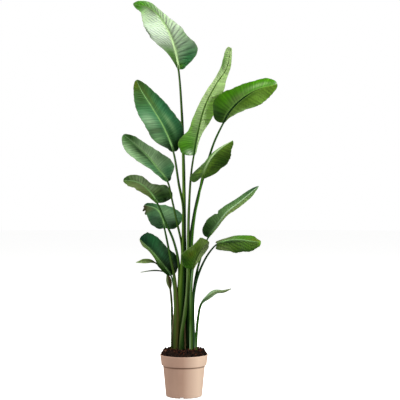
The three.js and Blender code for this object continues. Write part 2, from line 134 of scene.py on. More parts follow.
def linear(hexColour):
    channels = [((hexColour >> shift) & 255) / 255 for shift in (16, 8, 0)]
    return tuple(c / 12.92 if c <= 0.04045 else ((c + 0.055) / 1.055) ** 2.4 for c in channels)


def smoothStep(low, high, value):
    t = np.clip((value - low) / (high - low), 0, 1)
    return t * t * (3 - 2 * t)


def swing(turns, shift=0):
    # a sine wave, counted in whole turns
    return np.sin(2 * np.pi * turns + shift)


def addPiece(name, points, faces, node, materials, faceMaterial=None, uv=None, tint=None):
    # uv and tint hold one entry for each point
    points = np.asarray(points).reshape(-1, 3)
    mesh = bpy.data.meshes.new(name)
    mesh.from_pydata(points.tolist(), [], [list(face) for face in faces])
    for material in materials:
        mesh.materials.append(material)
    if faceMaterial is not None:
        mesh.polygons.foreach_set("material_index", np.asarray(faceMaterial, dtype=np.int32))
    mesh.polygons.foreach_set("use_smooth", np.ones(len(mesh.polygons), dtype=bool))
    if uv is not None:
        corners = np.empty(len(mesh.loops), dtype=np.int32)
        mesh.loops.foreach_get("vertex_index", corners)
        layer = mesh.uv_layers.new(name="leafUV")
        layer.data.foreach_set("uv", np.asarray(uv, dtype=np.float32).reshape(-1, 2)[corners].ravel())
    if tint is not None:
        layer = mesh.color_attributes.new(name="tint", type="FLOAT_COLOR", domain="POINT")
        colours = np.ones((len(points), 4), dtype=np.float32)
        colours[:, :3] = np.asarray(tint).reshape(-1, 3)
        layer.data.foreach_set("color", colours.ravel())
    mesh.update()
    return placePiece(addObject(name, mesh), node)


def ringFaces(rows, around):
    # quads between neighbouring rings, facing out where the rings turn right-handed about the way
    i, j = np.meshgrid(np.arange(rows - 1), np.arange(around), indexing="ij")
    k = (j + 1) % around
    quads = np.stack([i * around + j, i * around + k, (i + 1) * around + k, (i + 1) * around + j], axis=-1)
    return quads.reshape(-1, 4)


# metres along a leaf or stem to one whole step of v
uvLength = 0.1


def addTube(name, node, finish, points, angle, distance, tint):
    # rings of points along a stem, with a cap at each end
    rows, around = points.shape[:2]
    faces = ringFaces(rows, around).tolist()
    faces.append(list(range(around))[::-1])
    faces.append([(rows - 1) * around + k for k in range(around)])
    uv = np.empty((rows, around, 2))
    uv[..., 0] = (angle / (2 * np.pi))[None, :]
    uv[..., 1] = distance[:, None] / uvLength
    return addPiece(name, points, faces, node, [finish["all"]], None, uv, tint)


# ways and frames, a smooth line through given points
waySteps = 160


def wayThrough(points):
    p = np.array(points, dtype=float)
    p = np.vstack([2 * p[0] - p[1], p, 2 * p[-1] - p[-2]])
    t = np.linspace(0, 1, waySteps, endpoint=False)[:, None]
    places = []
    tangents = []
    for a, b, c, d in zip(p, p[1:], p[2:], p[3:]):
        ab = np.linalg.norm(b - a) ** 0.5
        bc = np.linalg.norm(c - b) ** 0.5
        cd = np.linalg.norm(d - c) ** 0.5
        leave = ((b - a) / ab - (c - a) / (ab + bc) + (c - b) / bc) * bc
        arrive = ((c - b) / bc - (d - b) / (bc + cd) + (d - c) / cd) * bc
        square = 3 * (c - b) - 2 * leave - arrive
        cube = 2 * (b - c) + leave + arrive
        places.append(b + leave * t + square * t**2 + cube * t**3)
        tangents.append(leave + 2 * square * t + 3 * cube * t**2)
    places.append(p[-2:-1])
    tangents.append(arrive[None])
    places = np.vstack(places)
    steps = np.linalg.norm(np.diff(places, axis=0), axis=1)
    lengths = np.concatenate([[0], np.cumsum(steps)])
    return {"places": places, "tangents": np.vstack(tangents), "lengths": lengths}


def unit(vectors):
    return vectors / np.linalg.norm(vectors, axis=-1, keepdims=True)


def framesAt(way, distances, rolls):
    # up is out of the upper side, roll 0 turns it to the front
    pick = lambda values: np.stack([np.interp(distances, way["lengths"], values[:, k]) for k in range(3)], 1)
    at = pick(way["places"])
    along = unit(pick(way["tangents"]))
    front = np.array([0.0, -1.0, 0.0])
    front = unit(front - along * (along @ front)[:, None])
    side = np.cross(along, front)
    turn = np.radians(np.broadcast_to(rolls, distances.shape))[:, None]
    up = front * np.cos(turn) + side * np.sin(turn)
    return {"at": at, "along": along, "up": up, "side": np.cross(along, up)}


def pointsOf(frames, across, lift, forward=None):
    # across, lift and forward are rows by columns, one row for each frame
    spread = lambda key, amount: frames[key][:, None, :] * amount[..., None]
    points = frames["at"][:, None, :] + spread("side", across) + spread("up", lift)
    return points if forward is None else points + spread("along", forward)


# camera, level with the middle of the plant
cameraSetup = {
    "place": (0.081, -5.4, 0.992),
    "tilt": 90,
    "lens": 95.86,
    "sensor": 36,
}


def makeCamera():
    data = bpy.data.cameras.new("camera")
    data.lens = cameraSetup["lens"]
    data.sensor_width = cameraSetup["sensor"]
    camera = addObject("camera", data)
    camera.location = cameraSetup["place"]
    camera.rotation_euler = (math.radians(cameraSetup["tilt"]), 0, 0)
    bpy.context.scene.camera = camera
    bpy.context.scene.view_settings.view_transform = "Standard"


# materials
def leafUv(tree):
    return addNode(tree, "ShaderNodeUVMap", uv_map="leafUV").outputs[0]


def tintOf(tree):
    return addNode(tree, "ShaderNodeAttribute", attribute_name="tint").outputs["Color"]


def objectPlace(tree):
    return addNode(tree, "ShaderNodeTexCoord").outputs["Object"]


def surface(tree, colour, look, height):
    # the height noise raises the surface by up to look["bump"]
    relief = {"Height": height, "Distance": look["bump"], "Strength": look["bumpStrength"]}
    inputs = {
        "Base Color": colour,
        "Roughness": look["roughness"],
        "Specular IOR Level": look["specular"],
        "Normal": addNode(tree, "ShaderNodeBump", relief).outputs[0],
    }
    return addNode(tree, "ShaderNodeBsdfPrincipled", inputs).outputs[0]


def output(tree, shader):
    addNode(tree, "ShaderNodeOutputMaterial", {"Surface": shader})


def leafMaterial(name, look):
    # veins run across the blade at even steps of v, u is 0.5 on the midrib and 0 or 1 at the margins
    material, tree = newMaterial(name)
    uv = leafUv(tree)
    place = objectPlace(tree)
    fine = noise(tree, uv, look["fineVeins"], roughness=0.6)
    broad = noise(tree, uv, look["broadVeins"], detail=1)
    blotch = noise(tree, place, look["blotchScale"], detail=3, roughness=0.6)
    across = addNode(tree, "ShaderNodeSeparateXYZ", {0: uv}).outputs[0]
    margin = math2(tree, "MULTIPLY", awayFrom(tree, across, 0.5), 2)
    colour = shaded(tree, tintOf(tree), fine, look["fineShade"])
    colour = shaded(tree, colour, broad, look["broadShade"])
    colour = shaded(tree, colour, blotch, look["blotchShade"])
    nearRib = ramp(tree, margin, (0, look["ribGlowEnd"]), (look["ribGlow"], 0))
    colour = mixColour(tree, nearRib, colour, look["ribGlowColour"])
    edge = ramp(tree, margin, (look["edgeStart"], 1), (0, look["edge"]))
    colour = mixColour(tree, edge, colour, look["edgeColour"])
    # a few dry spots along the margin
    dry = noise(tree, place, look["spotScale"], detail=3, roughness=0.7)
    spots = ramp(tree, dry, look["spotRange"], (0, look["spots"]))
    nearEdge = ramp(tree, margin, look["spotReach"], (0, 1))
    colour = mixColour(tree, math2(tree, "MULTIPLY", spots, nearEdge), colour, look["spotColour"])
    height = math2(tree, "ADD", math2(tree, "MULTIPLY", fine, look["fineRelief"]), broad)
    body = surface(tree, colour, look, height)
    glow = {"Color": times(tree, colour, look["through"])}
    translucent = addNode(tree, "ShaderNodeBsdfTranslucent", glow).outputs[0]
    output(tree, addNode(tree, "ShaderNodeMixShader", {0: look["thin"], 1: body, 2: translucent}).outputs[0])
    return material


def stemMaterial(name, look):
    # fibres run along v, u goes once round the stem
    material, tree = newMaterial(name)
    uv = leafUv(tree)
    fibres = noise(tree, uv, look["fibres"], roughness=0.6)
    cloud = noise(tree, uv, look["clouds"], detail=3, roughness=0.6)
    speckle = noise(tree, objectPlace(tree), look["markScale"], detail=1)
    colour = shaded(tree, tintOf(tree), fibres, look["fibreShade"])
    colour = shaded(tree, colour, cloud, look["cloudShade"])
    marks = ramp(tree, speckle, look["markRange"], (0, look["marks"]))
    colour = mixColour(tree, marks, colour, look["markColour"])
    output(tree, surface(tree, colour, look, fibres))
    return material


def crumbMaterial(name, look):
    # the mound has its own dark and light, the loose crumbs have a tint each
    material, tree = newMaterial(name)
    place = objectPlace(tree)
    grain = noise(tree, place, look["grain"], detail=4, roughness=0.65)
    if "clods" in look:
        clods = noise(tree, place, look["clods"])
        colour = ramp(tree, clods, look["clodRange"], (look["dark"], look["light"]))
    else:
        colour = tintOf(tree)
    colour = dull(tree, colour, grain, *look["grainShade"])
    output(tree, surface(tree, colour, look, grain))
    return material


def potMaterial(name, look):
    material, tree = newMaterial(name)
    place = objectPlace(tree)
    speckle = noise(tree, place, look["speckles"])
    cloud = noise(tree, place, look["clouds"], detail=3, roughness=0.6)
    apart = addNode(tree, "ShaderNodeSeparateXYZ", {0: place})
    side = apart.outputs[0]
    height = apart.outputs[2]
    colour = ramp(tree, cloud, look["cloudRange"], (look["dark"], look["light"]))
    colour = shaded(tree, colour, noise(tree, place, look["streaks"]), look["streakShade"])
    colour = shaded(tree, colour, speckle, look["speckleShade"])
    # painted light: the right side is lighter where the lamps fall on it, and the far left is lighter again
    rightLit = mapRange(tree, side, look["rightLitFrom"], (0, 1))
    colour = mixColour(tree, rightLit, colour, look["rightLitColour"])
    colour = times(tree, colour, mapRange(tree, side, look["leftLitFrom"], (1, look["leftLight"])))
    # painted shadow: a dark line under the rim band, where the band's overhang shades the wall
    away = math2(tree, "DIVIDE", awayFrom(tree, height, look["shadowLineHeight"]), look["shadowLineHalf"], clamp=True)
    line = math2(tree, "MULTIPLY", math2(tree, "SUBTRACT", 1, away, clamp=True), look["shadowLineStrength"])
    colour = mixColour(tree, line, colour, look["line"])
    # dust and splashes low on the wall, soil marks at the rim
    splash = noise(tree, place, look["splashScale"], detail=3, roughness=0.7)
    spots = ramp(tree, splash, look["splashRange"], (0, 1))
    low = ramp(tree, height, (0, look["dustTop"]), (look["dustStrength"], 0))
    colour = mixColour(tree, math2(tree, "MULTIPLY", spots, low), colour, look["dust"])
    high = ramp(tree, height, look["soilMarkHeights"], (0, look["soilMarkStrength"]))
    colour = mixColour(tree, math2(tree, "MULTIPLY", spots, high), colour, look["soilMark"])
    uneven = dict(look, roughness=mapRange(tree, speckle, (0, 1), look["roughness"]))
    output(tree, surface(tree, colour, uneven, speckle))
    return material


darkLook = {
    "fineVeins": (1.1, 44, 1), "fineShade": 0.22,
    "broadVeins": (0.7, 9, 1), "broadShade": 0.24,
    "blotchScale": 13, "blotchShade": 0.14,
    "ribGlow": 0.25, "ribGlowEnd": 0.14, "ribGlowColour": (0.16, 0.3, 0.12),
    "edge": 0.5, "edgeStart": 0.955, "edgeColour": (0.2, 0.26, 0.09),
    "spots": 0.6, "spotScale": 55, "spotRange": (0.63, 0.7), "spotReach": (0.82, 0.98),
    "spotColour": (0.17, 0.1, 0.04),
    "roughness": 0.45, "specular": 0.1,
    "bump": 0.0007, "bumpStrength": 0.6, "fineRelief": 0.55,
    # thin is the share of light that shines through the leaf, and through its colour
    "thin": 0.12, "through": (1.6, 1.5, 0.5),
}
leafLooks = {
    "dark": darkLook,
    "olive": dict(darkLook, roughness=0.44, thin=0.18, broadShade=0.18),
    "fresh": dict(darkLook, roughness=0.42, thin=0.42, fineShade=0.1, broadShade=0.12, spots=0.25,
                  ribGlowColour=(0.35, 0.5, 0.2)),
}
# the under side is duller, with stronger veins
underChange = {"roughness": 0.55, "specular": 0.14, "broadShade": 0.26}
stemLook = {
    "fibres": (24, 0.9, 1), "fibreShade": 0.2,
    "clouds": (2.2, 1.6, 1), "cloudShade": 0.16,
    "marks": 0.3, "markScale": 420, "markRange": (0.66, 0.72), "markColour": (0.2, 0.2, 0.08),
    "roughness": 0.42, "specular": 0.1, "bump": 0.0003, "bumpStrength": 0.6,
}
ribLook = dict(stemLook, fibres=(0.8, 0.9, 1), fibreShade=0.1, marks=0.1)
dryLook = dict(stemLook, fibres=(18, 0.9, 1), fibreShade=0.35, roughness=0.8, specular=0.2, marks=0.5,
               markColour=(0.14, 0.09, 0.04), bump=0.0006)
crumbMaterialLook = {
    "grain": 420, "grainShade": (0.55, 1.5),
    "roughness": 0.95, "specular": 0.15, "bump": 0.0008, "bumpStrength": 0.9,
}
soilMaterialLook = dict(crumbMaterialLook, grain=260, bump=0.0012, clods=60, clodRange=(0.3, 0.7),
                        dark=(0.002, 0.001, 0.0005), light=(0.018, 0.008, 0.0035))
potMaterialLook = {
    "dark": (0.485, 0.3, 0.215), "light": (0.545, 0.345, 0.25), "clouds": 7, "cloudRange": (0.3, 0.7),
    "streaks": (26, 26, 1.5), "streakShade": 0.05,
    "speckles": 900, "speckleShade": 0.07,
    # painted light: a lighter colour on the right side, and more light at the far left
    "rightLitColour": (0.94, 0.69, 0.51), "rightLitFrom": (-0.004, 0.074),
    "leftLitFrom": (-0.04, -0.11), "leftLight": 1.25,
    # painted shadow under the rim band: its colour, height, half width and strength
    "line": (0.15, 0.06, 0.026), "shadowLineHeight": 0.1525, "shadowLineHalf": 0.0046, "shadowLineStrength": 0.85,
    "splashScale": 160, "splashRange": (0.6, 0.66),
    "dust": (0.66, 0.52, 0.42), "dustTop": 0.045, "dustStrength": 0.5,
    "soilMark": (0.06, 0.035, 0.022), "soilMarkHeights": (0.2, 0.2125), "soilMarkStrength": 0.55,
    "roughness": (0.5, 0.64), "specular": 0.35, "bump": 0.00025, "bumpStrength": 0.35,
}

finishes = {}
for finishName, leafLook in leafLooks.items():
    finishes[finishName] = {
        "slot": "blade_" + finishName,
        "upper": leafMaterial(finishName + "LeafUpper", leafLook),
        "under": leafMaterial(finishName + "LeafUnder", dict(leafLook, **underChange)),
        "rib": stemMaterial(finishName + "Midrib", ribLook),
    }
stalkSlots = {"greenStalk": "stalk_green", "oliveStalk": "stalk_olive", "paleStalk": "stalk_pale"}
for finishName, slotName in stalkSlots.items():
    finishes[finishName] = {"slot": slotName, "all": stemMaterial(finishName, stemLook)}
finishes["drySheath"] = {"slot": "dry_sheath", "all": stemMaterial("drySheath", dryLook)}
finishes["soil"] = {"slot": "soil", "all": crumbMaterial("soil", soilMaterialLook)}
finishes["crumbs"] = {"slot": "soil", "all": crumbMaterial("crumbs", crumbMaterialLook)}
finishes["pot"] = {"slot": "pot", "all": potMaterial("pot", potMaterialLook)}
print("materials made")


# the colours by name, every leaf and stalk picks from these
tones = {
    "blackGreen": 0x0C260A, "deep": 0x173A0E, "forest": 0x26500F, "pine": 0x123F24, "slate": 0x2C5430,
    "teal": 0x2B7A40, "sea": 0x3A784C, "moss": 0x46661C, "grass": 0x4A8414, "vivid": 0x57A005,
    "lime": 0x7CB61E, "leaf": 0x558544, "soft": 0x76A25C, "grey": 0x4C7C4C, "sage": 0x78A06A,
    "mist": 0xA0C092, "pale": 0xB2D092, "white": 0xE6F4DE, "olive": 0x66761A, "khaki": 0x748652,
    "umber": 0x3E3A16, "bark": 0x6E5B3C, "straw": 0xC2B28C, "fern": 0x76A030, "sprout": 0xC8DEA6,
    "frost": 0xF4FFF2, "stem": 0x567A18, "ink": 0x0C2C04, "loam": 0x2E3A0C, "rind": 0x7E9C5C,
    "celery": 0x98B468,
}
tintStops = (0.05, 0.5, 0.92)


def tintAlong(colours, share):
    # three colours at the base, the middle and the tip, blended along the leaf
    stops = np.array([linear(tones[name]) for name in colours.split()])
    return np.stack([np.interp(share, tintStops, stops[:, k]) for k in range(3)], axis=-1)


# Each leaf: the way of its stalk up from the roots, then the way of its midrib on to the tip.
# sheath is the stalk's front to back size at the soil, breadth its size across the fan at shares of its
# length, and neck the midrib's thickness where the blade begins. A knob has its swell and length.
# left and right are the half widths at the stations, shares of the length, seen from the upper side.
# roll turns the blade about its midrib, fold is the rise of each half, curl its further bend.
# wave is the ripple of the margin, frill and the two pleats are shares of the usual ones.
# lobe is the lean of the side veins at the base in degrees, bare the share of the midrib without a blade.
# Stripes for each half: pitch, depth, sharpness and lean; their dark lines are partly painted shade of the
# pleats. Nicks: half, place, depth and half length.
# Three colours are those at the base, the middle and the tip, two sets of them the left and the right half.
# A patch is a half (0 for both), its place along and across, its length and width, colour and strength;
# patches are partly the leaf's own colour and partly painted highlights, sheen and painted shade.
# A stalk's right hand colours are mostly painted shade of that side.
leafUsual = {
    "stalk": (),
    "sheath": 0.022,
    "neck": 0.009,
    "knob": (0, 1),
    "bare": 0,
    "wrinkled": False,
    "stations": (0.07, 0.2, 0.4, 0.6, 0.8),
    "curl": -20,
    "wave": 0.004,
    "lobe": -30,
    "frill": 1,
    "tipRound": 0.7,
    "pleats": (1, 1),
    "columnsBetween": 1,
    "stripes": ((0.0125, 0.26, 1.6, 0),),
    "nicks": (),
    "upperColourAndLightPatches": (),
    "underColourAndLightPatches": (),
}
leaves = {}
leaves["01"] = dict(
    leafUsual,
    stalk=[(0.009, 0.024, 0.15), (0.009, 0.024, 0.235), (0.006, 0.022, 0.5), (0.001, 0.02, 0.788),
        (0.001, 0.014, 0.992), (-0.004, 0.014, 1.246), (-0.011, 0.022, 1.425), (-0.029, 0.045, 1.659)],
    blade=[(-0.056, 0.075, 1.791), (-0.106, 0.105, 1.907), (-0.177, 0.11, 1.987), (-0.262, 0.08, 2.003)],
    sheath=0.024, neck=0.01, breadth=((0, 0.028), (0.42, 0.028), (0.55, 0.021), (0.8, 0.014), (1, 0.01)),
    stations=(0.06, 0.12, 0.2, 0.3, 0.4, 0.55, 0.7, 0.8, 0.92),
    left=(0.02, 0.034, 0.058, 0.09, 0.106, 0.1, 0.072, 0.046, 0.024),
    right=(0.042, 0.078, 0.121, 0.084, 0.07, 0.04, 0.025, 0.026, 0.022),
    roll=(35, -35), fold=(25, 25), curl=-30, pleats=(1, 2.6), columnsBetween=3,
    stripes=((0.024, 0.5, 3, 0.13), (0.021, 0.5, 2, 0.02)),
    # painted reflection: the frost and white upper side is partly a waxy bloom and partly the gloss of the
    # lights painted in
    finish="fresh", upper=["moss frost frost", "grey white white"], under=["moss leaf lime"],
    ribUpper="pale pale vivid", ribUnder="moss moss soft",
    stalkFinish="greenStalk", stalkTint="loam fern moss", stalkRightShade="ink forest deep",
    upperColourAndLightPatches=[
        (-1, 0.03, 0.5, 0.06, 0.9, "deep", 0.9),
        (-1, 0.17, 0.55, 0.11, 0.8, "grass", 0.8),
        (-1, 0.46, 1, 0.1, 0.09, "pine", 1),
        (-1, 0.93, 0.5, 0.15, 1.3, "grass", 0.98),
        (-1, 0.78, 0.05, 0.1, 0.2, "moss", 0.7),
        (1, 0.13, 0.75, 0.12, 0.5, "teal", 0.95),
        (1, 0.04, 0.3, 0.04, 0.5, "grass", 0.8),
        (1, 0.93, 0.4, 0.19, 1.3, "vivid", 0.95),
        (1, 0.45, 0.08, 0.22, 0.12, "moss", 0.5),
        (1, 0.33, 0.9, 0.05, 0.3, "sage", 0.6),
    ],
)
leaves["02"] = dict(
    leafUsual,
    stalk=[(-0.014, -0.014, 0.15), (-0.014, -0.015, 0.24), (-0.0155, -0.018, 0.4), (-0.0115, -0.018, 0.52),
        (-0.006, -0.016, 0.64), (-0.003, -0.014, 0.75), (-0.001, -0.014, 0.866), (-0.005, -0.018, 0.967),
        (-0.025, -0.028, 1.068), (-0.053, -0.04, 1.234)],
    blade=[(-0.101, -0.025, 1.356), (-0.161, -0.002, 1.46), (-0.22, 0.027, 1.554), (-0.243, 0.034, 1.604)],
    neck=0.0085, breadth=((0, 0.034), (0.1, 0.041), (0.37, 0.042), (0.47, 0.028), (0.6, 0.016), (1, 0.01)),
    left=(0.03, 0.086, 0.09, 0.076, 0.043), right=(0.038, 0.086, 0.078, 0.061, 0.042),
    roll=(30, -5), fold=(20, 25), pleats=(2, 1.2),
    stripes=((0.0125, 0.3, 1.8, 0.015), (0.011, 0.26, 1.8, 0.01)),
    finish="dark", upper=["deep sea moss"], under=["moss leaf leaf"],
    ribUpper="soft soft soft", ribUnder="moss moss leaf",
    stalkFinish="greenStalk", stalkTint="loam stem moss", stalkRightShade="ink ink deep",
    # painted highlights: the mist and sage patches stand for the gloss sheen on this blade
    upperColourAndLightPatches=[
        (-1, 0.42, 0.62, 0.11, 0.4, "mist", 0.5),
        (-1, 0.285, 0.6, 0.035, 0.6, "umber", 0.4),
        (-1, 0.2, 0.7, 0.06, 0.5, "sage", 0.5),
        (-1, 0.06, 0.4, 0.07, 0.7, "blackGreen", 0.9),
        (-1, 0.72, 0.5, 0.12, 0.6, "forest", 0.7),
        (-1, 0.95, 0.6, 0.06, 0.6, "olive", 0.6),
        (1, 0.66, 0.2, 0.26, 0.18, "olive", 0.35),
        (1, 0.33, 0.4, 0.12, 0.14, "sage", 0.7),
        (1, 0.5, 0.9, 0.4, 0.25, "pine", 0.6),
        (1, 0.06, 0.5, 0.08, 0.9, "ink", 0.9),
        (1, 0.2, 0.15, 0.08, 0.2, "deep", 0.7),
        (1, 0.93, 0.6, 0.06, 0.6, "forest", 0.7),
    ],
)
leaves["03"] = dict(
    leafUsual,
    stalk=[(-0.022, 0.024, 0.15), (-0.022, 0.024, 0.235), (-0.018, 0.014, 0.5), (-0.011, 0.002, 0.756),
        (-0.032, -0.006, 0.864), (-0.061, -0.006, 0.995), (-0.083, 0.0, 1.084)],
    blade=[(-0.13, 0.02, 1.147), (-0.19, 0.045, 1.219), (-0.252, 0.06, 1.277), (-0.31, 0.062, 1.328)],
    breadth=((0, 0.022), (0.3, 0.02), (0.6, 0.013), (1, 0.009)),
    left=(0.03, 0.044, 0.068, 0.073, 0.05), right=(0.03, 0.086, 0.06, 0.042, 0.031),
    roll=(45, 0), fold=(25, 25), pleats=(1.6, 0.9), stripes=((0.0125, 0.4, 1.6, 0), (0.0105, 0.3, 1.6, 0)),
    finish="dark", upper=["grey sage leaf", "grey mist leaf"], under=["moss leaf leaf"],
    ribUpper="soft soft sage", ribUnder="moss moss leaf",
    stalkFinish="greenStalk", stalkTint="loam moss moss", stalkRightShade="ink deep deep",
    # painted highlights: the mist and sea patches stand for the gloss on this blade
    upperColourAndLightPatches=[
        (-1, 0.62, 0.18, 0.15, 0.22, "deep", 0.85),
        (-1, 0.42, 0.1, 0.12, 0.15, "deep", 0.7),
        (-1, 0.75, 0.85, 0.15, 0.35, "mist", 0.6),
        (-1, 0.3, 0.6, 0.14, 0.5, "sea", 0.65),
        (-1, 0.07, 0.4, 0.06, 0.8, "forest", 0.85),
        (-1, 0.45, 0.95, 0.2, 0.2, "mist", 0.5),
        (1, 0.48, 0.5, 0.2, 0.4, "sage", 0.4),
        (1, 0.87, 0.6, 0.1, 0.6, "forest", 0.75),
        (1, 0.15, 0.5, 0.08, 0.5, "sea", 0.7),
        (1, 0.03, 0.5, 0.035, 0.9, "blackGreen", 0.85),
        (1, 0.6, 0.06, 0.3, 0.07, "pale", 0.5),
    ],
)
leaves["04"] = dict(
    leafUsual,
    stalk=[(-0.028, -0.004, 0.15), (-0.028, -0.004, 0.235), (-0.026, -0.008, 0.45), (-0.025, -0.014, 0.663),
        (-0.052, -0.006, 0.783), (-0.096, 0.004, 0.884), (-0.135, 0.014, 0.974)],
    blade=[(-0.177, 0.04, 1.035), (-0.216, 0.062, 1.069), (-0.255, 0.078, 1.088), (-0.313, 0.08, 1.095)],
    breadth=((0, 0.026), (0.35, 0.026), (0.6, 0.015), (1, 0.009)),
    stations=(0.04, 0.1, 0.2, 0.3, 0.4, 0.6, 0.8),
    left=(0.018, 0.03, 0.046, 0.06, 0.07, 0.063, 0.036),
    right=(0.048, 0.092, 0.097, 0.06, 0.038, 0.038, 0.029),
    roll=(45, 20), fold=(30, 30), stripes=((0.012, 0.3, 1.5, 0), (0.0145, 0.48, 1.6, 0)),
    finish="dark", upper=["moss khaki moss", "forest khaki moss"], under=["moss khaki moss"],
    ribUpper="soft soft sage", ribUnder="moss moss khaki",
    stalkFinish="oliveStalk", stalkTint="loam moss forest", stalkRightShade="ink deep deep",
    # painted highlights: the mist and sage patches stand for the grey-green gloss on this blade
    upperColourAndLightPatches=[
        (1, 0.05, 0.7, 0.05, 0.6, "deep", 0.85),
        (1, 0.14, 0.3, 0.05, 0.4, "deep", 0.8),
        (1, 0.21, 0.85, 0.06, 0.3, "sage", 0.5),
        (1, 0.36, 0.5, 0.08, 0.4, "mist", 0.4),
        (1, 0.93, 0.6, 0.1, 0.7, "forest", 0.8),
        (1, 0.62, 0.5, 0.22, 0.6, "mist", 0.45),
        (-1, 0.3, 0.7, 0.15, 0.4, "umber", 0.35),
        (-1, 0.12, 0.4, 0.08, 0.6, "forest", 0.6),
        (-1, 0.9, 0.6, 0.1, 0.6, "moss", 0.6),
    ],
)
leaves["05"] = dict(
    leafUsual,
    stalk=[(-0.043, -0.03, 0.15), (-0.04, -0.03, 0.24), (-0.037, -0.028, 0.4), (-0.04, -0.022, 0.5),
        (-0.049, -0.014, 0.606), (-0.067, 0.002, 0.687), (-0.085, 0.028, 0.775), (-0.101, 0.056, 0.846)],
    blade=[(-0.117, 0.12, 0.905), (-0.15, 0.195, 0.947), (-0.2145, 0.27, 0.966)],
    sheath=0.024, breadth=((0, 0.028), (0.3, 0.03), (0.5, 0.027), (0.68, 0.014), (1, 0.009)),
    stations=(0.05, 0.12, 0.2, 0.3, 0.45, 0.6, 0.75, 0.9),
    left=(0.046, 0.065, 0.074, 0.073, 0.067, 0.06, 0.052, 0.038),
    right=(0.052, 0.082, 0.104, 0.094, 0.057, 0.026, 0.02, 0.014),
    roll=(20, 0), fold=(15, 15), curl=-25, pleats=(2.2, 0.8),
    stripes=((0.0085, 0.5, 1.5, 0), (0.0125, 0.25, 1.5, 0)),
    nicks=[(-1, 0.86, 0.35, 0.05), (-1, 0.95, 0.45, 0.03)],
    finish="dark", upper=["slate grey umber", "slate grey slate"], under=["moss slate slate"],
    ribUpper="soft soft sage", ribUnder="moss moss slate",
    stalkFinish="oliveStalk", stalkTint="loam moss forest", stalkRightShade="umber umber forest",
    upperColourAndLightPatches=[
        (1, 0.4, 0.35, 0.2, 0.4, "sage", 0.6),
        (1, 0.1, 0.75, 0.08, 0.45, "ink", 0.85),
        (-1, 0.8, 0.3, 0.1, 0.4, "khaki", 0.4),
        (-1, 0.3, 0.7, 0.12, 0.3, "pine", 0.6),
        (1, 0.3, 0.9, 0.12, 0.2, "pine", 0.6),
    ],
)
leaves["06"] = dict(
    leafUsual,
    stalk=[(-0.05, -0.002, 0.15), (-0.05, -0.002, 0.235), (-0.0465, 0.002, 0.4), (-0.0475, 0.006, 0.5),
        (-0.054, 0.013, 0.563), (-0.067, 0.024, 0.607)],
    blade=[(-0.113, 0.048, 0.669), (-0.172, 0.066, 0.7385), (-0.203, 0.072, 0.766),
        (-0.229, 0.076, 0.7915)],
    neck=0.008, breadth=((0, 0.02), (0.5, 0.014), (1, 0.008)),
    left=(0.075, 0.085, 0.045, 0.03, 0.034), right=(0.044, 0.084, 0.074, 0.074, 0.062),
    roll=(15, 0), fold=(70, 30), curl=-10,
    finish="dark", upper=["ink moss khaki", "ink slate pine"], under=["deep forest forest"],
    ribUpper="soft soft sage", ribUnder="moss moss leaf",
    stalkFinish="oliveStalk", stalkTint="loam loam grey", stalkRightShade="loam loam slate",
    # painted highlights: the sea and teal patches on the right half stand for its bluish gloss
    upperColourAndLightPatches=[
        (1, 0.45, 0.4, 0.16, 0.2, "sea", 0.5),
        (1, 0.1, 0.6, 0.09, 0.8, "ink", 0.8),
        (-1, 0.25, 0.85, 0.14, 0.5, "ink", 0.85),
        (-1, 0.5, 0.3, 0.25, 0.3, "soft", 0.5),
        (1, 0.7, 0.7, 0.12, 0.4, "teal", 0.3),
    ],
)
leaves["07a"] = dict(
    leafUsual,
    stalk=[(-0.06, 0.028, 0.15), (-0.06, 0.028, 0.235), (-0.063, 0.034, 0.458), (-0.073, 0.043, 0.55),
        (-0.087, 0.054, 0.612)],
    blade=[(-0.1, 0.069, 0.632), (-0.125, 0.095, 0.65), (-0.166, 0.1, 0.675), (-0.205, 0.1, 0.677),
        (-0.249, 0.095, 0.67)],
    sheath=0.01, neck=0.006, knob=(0.0105, 0.075), bare=0.48, wrinkled=True,
    breadth=((0, 0.017), (0.6, 0.014), (0.85, 0.009), (1, 0.006)),
    left=(0.005, 0.01, 0.015, 0.014, 0.008), right=(0.003, 0.007, 0.011, 0.011, 0.006),
    roll=(20, 20), fold=(20, 20), curl=0, wave=0.002,
    finish="olive", upper=["moss celery celery"], under=["moss khaki moss"],
    ribUpper="umber khaki celery", ribUnder="umber umber moss",
    stalkFinish="oliveStalk", stalkTint="forest forest khaki", stalkRightShade="ink ink bark",
)
leaves["07b"] = dict(
    leafUsual,
    blade=[(-0.0935, 0.0495, 0.6175), (-0.104, 0.047, 0.6245), (-0.137, 0.043, 0.63), (-0.177, 0.034, 0.629),
        (-0.221, 0.025, 0.623)],
    neck=0.004, bare=0.2,
    left=(0.004, 0.005, 0.005, 0.004, 0.003), right=(0.004, 0.005, 0.005, 0.004, 0.003),
    roll=(40, 40), fold=(50, 50), curl=0, wave=0.001,
    finish="olive", upper=["slate khaki khaki"], under=["slate khaki khaki"],
    ribUpper="slate slate khaki", ribUnder="slate slate khaki",
)
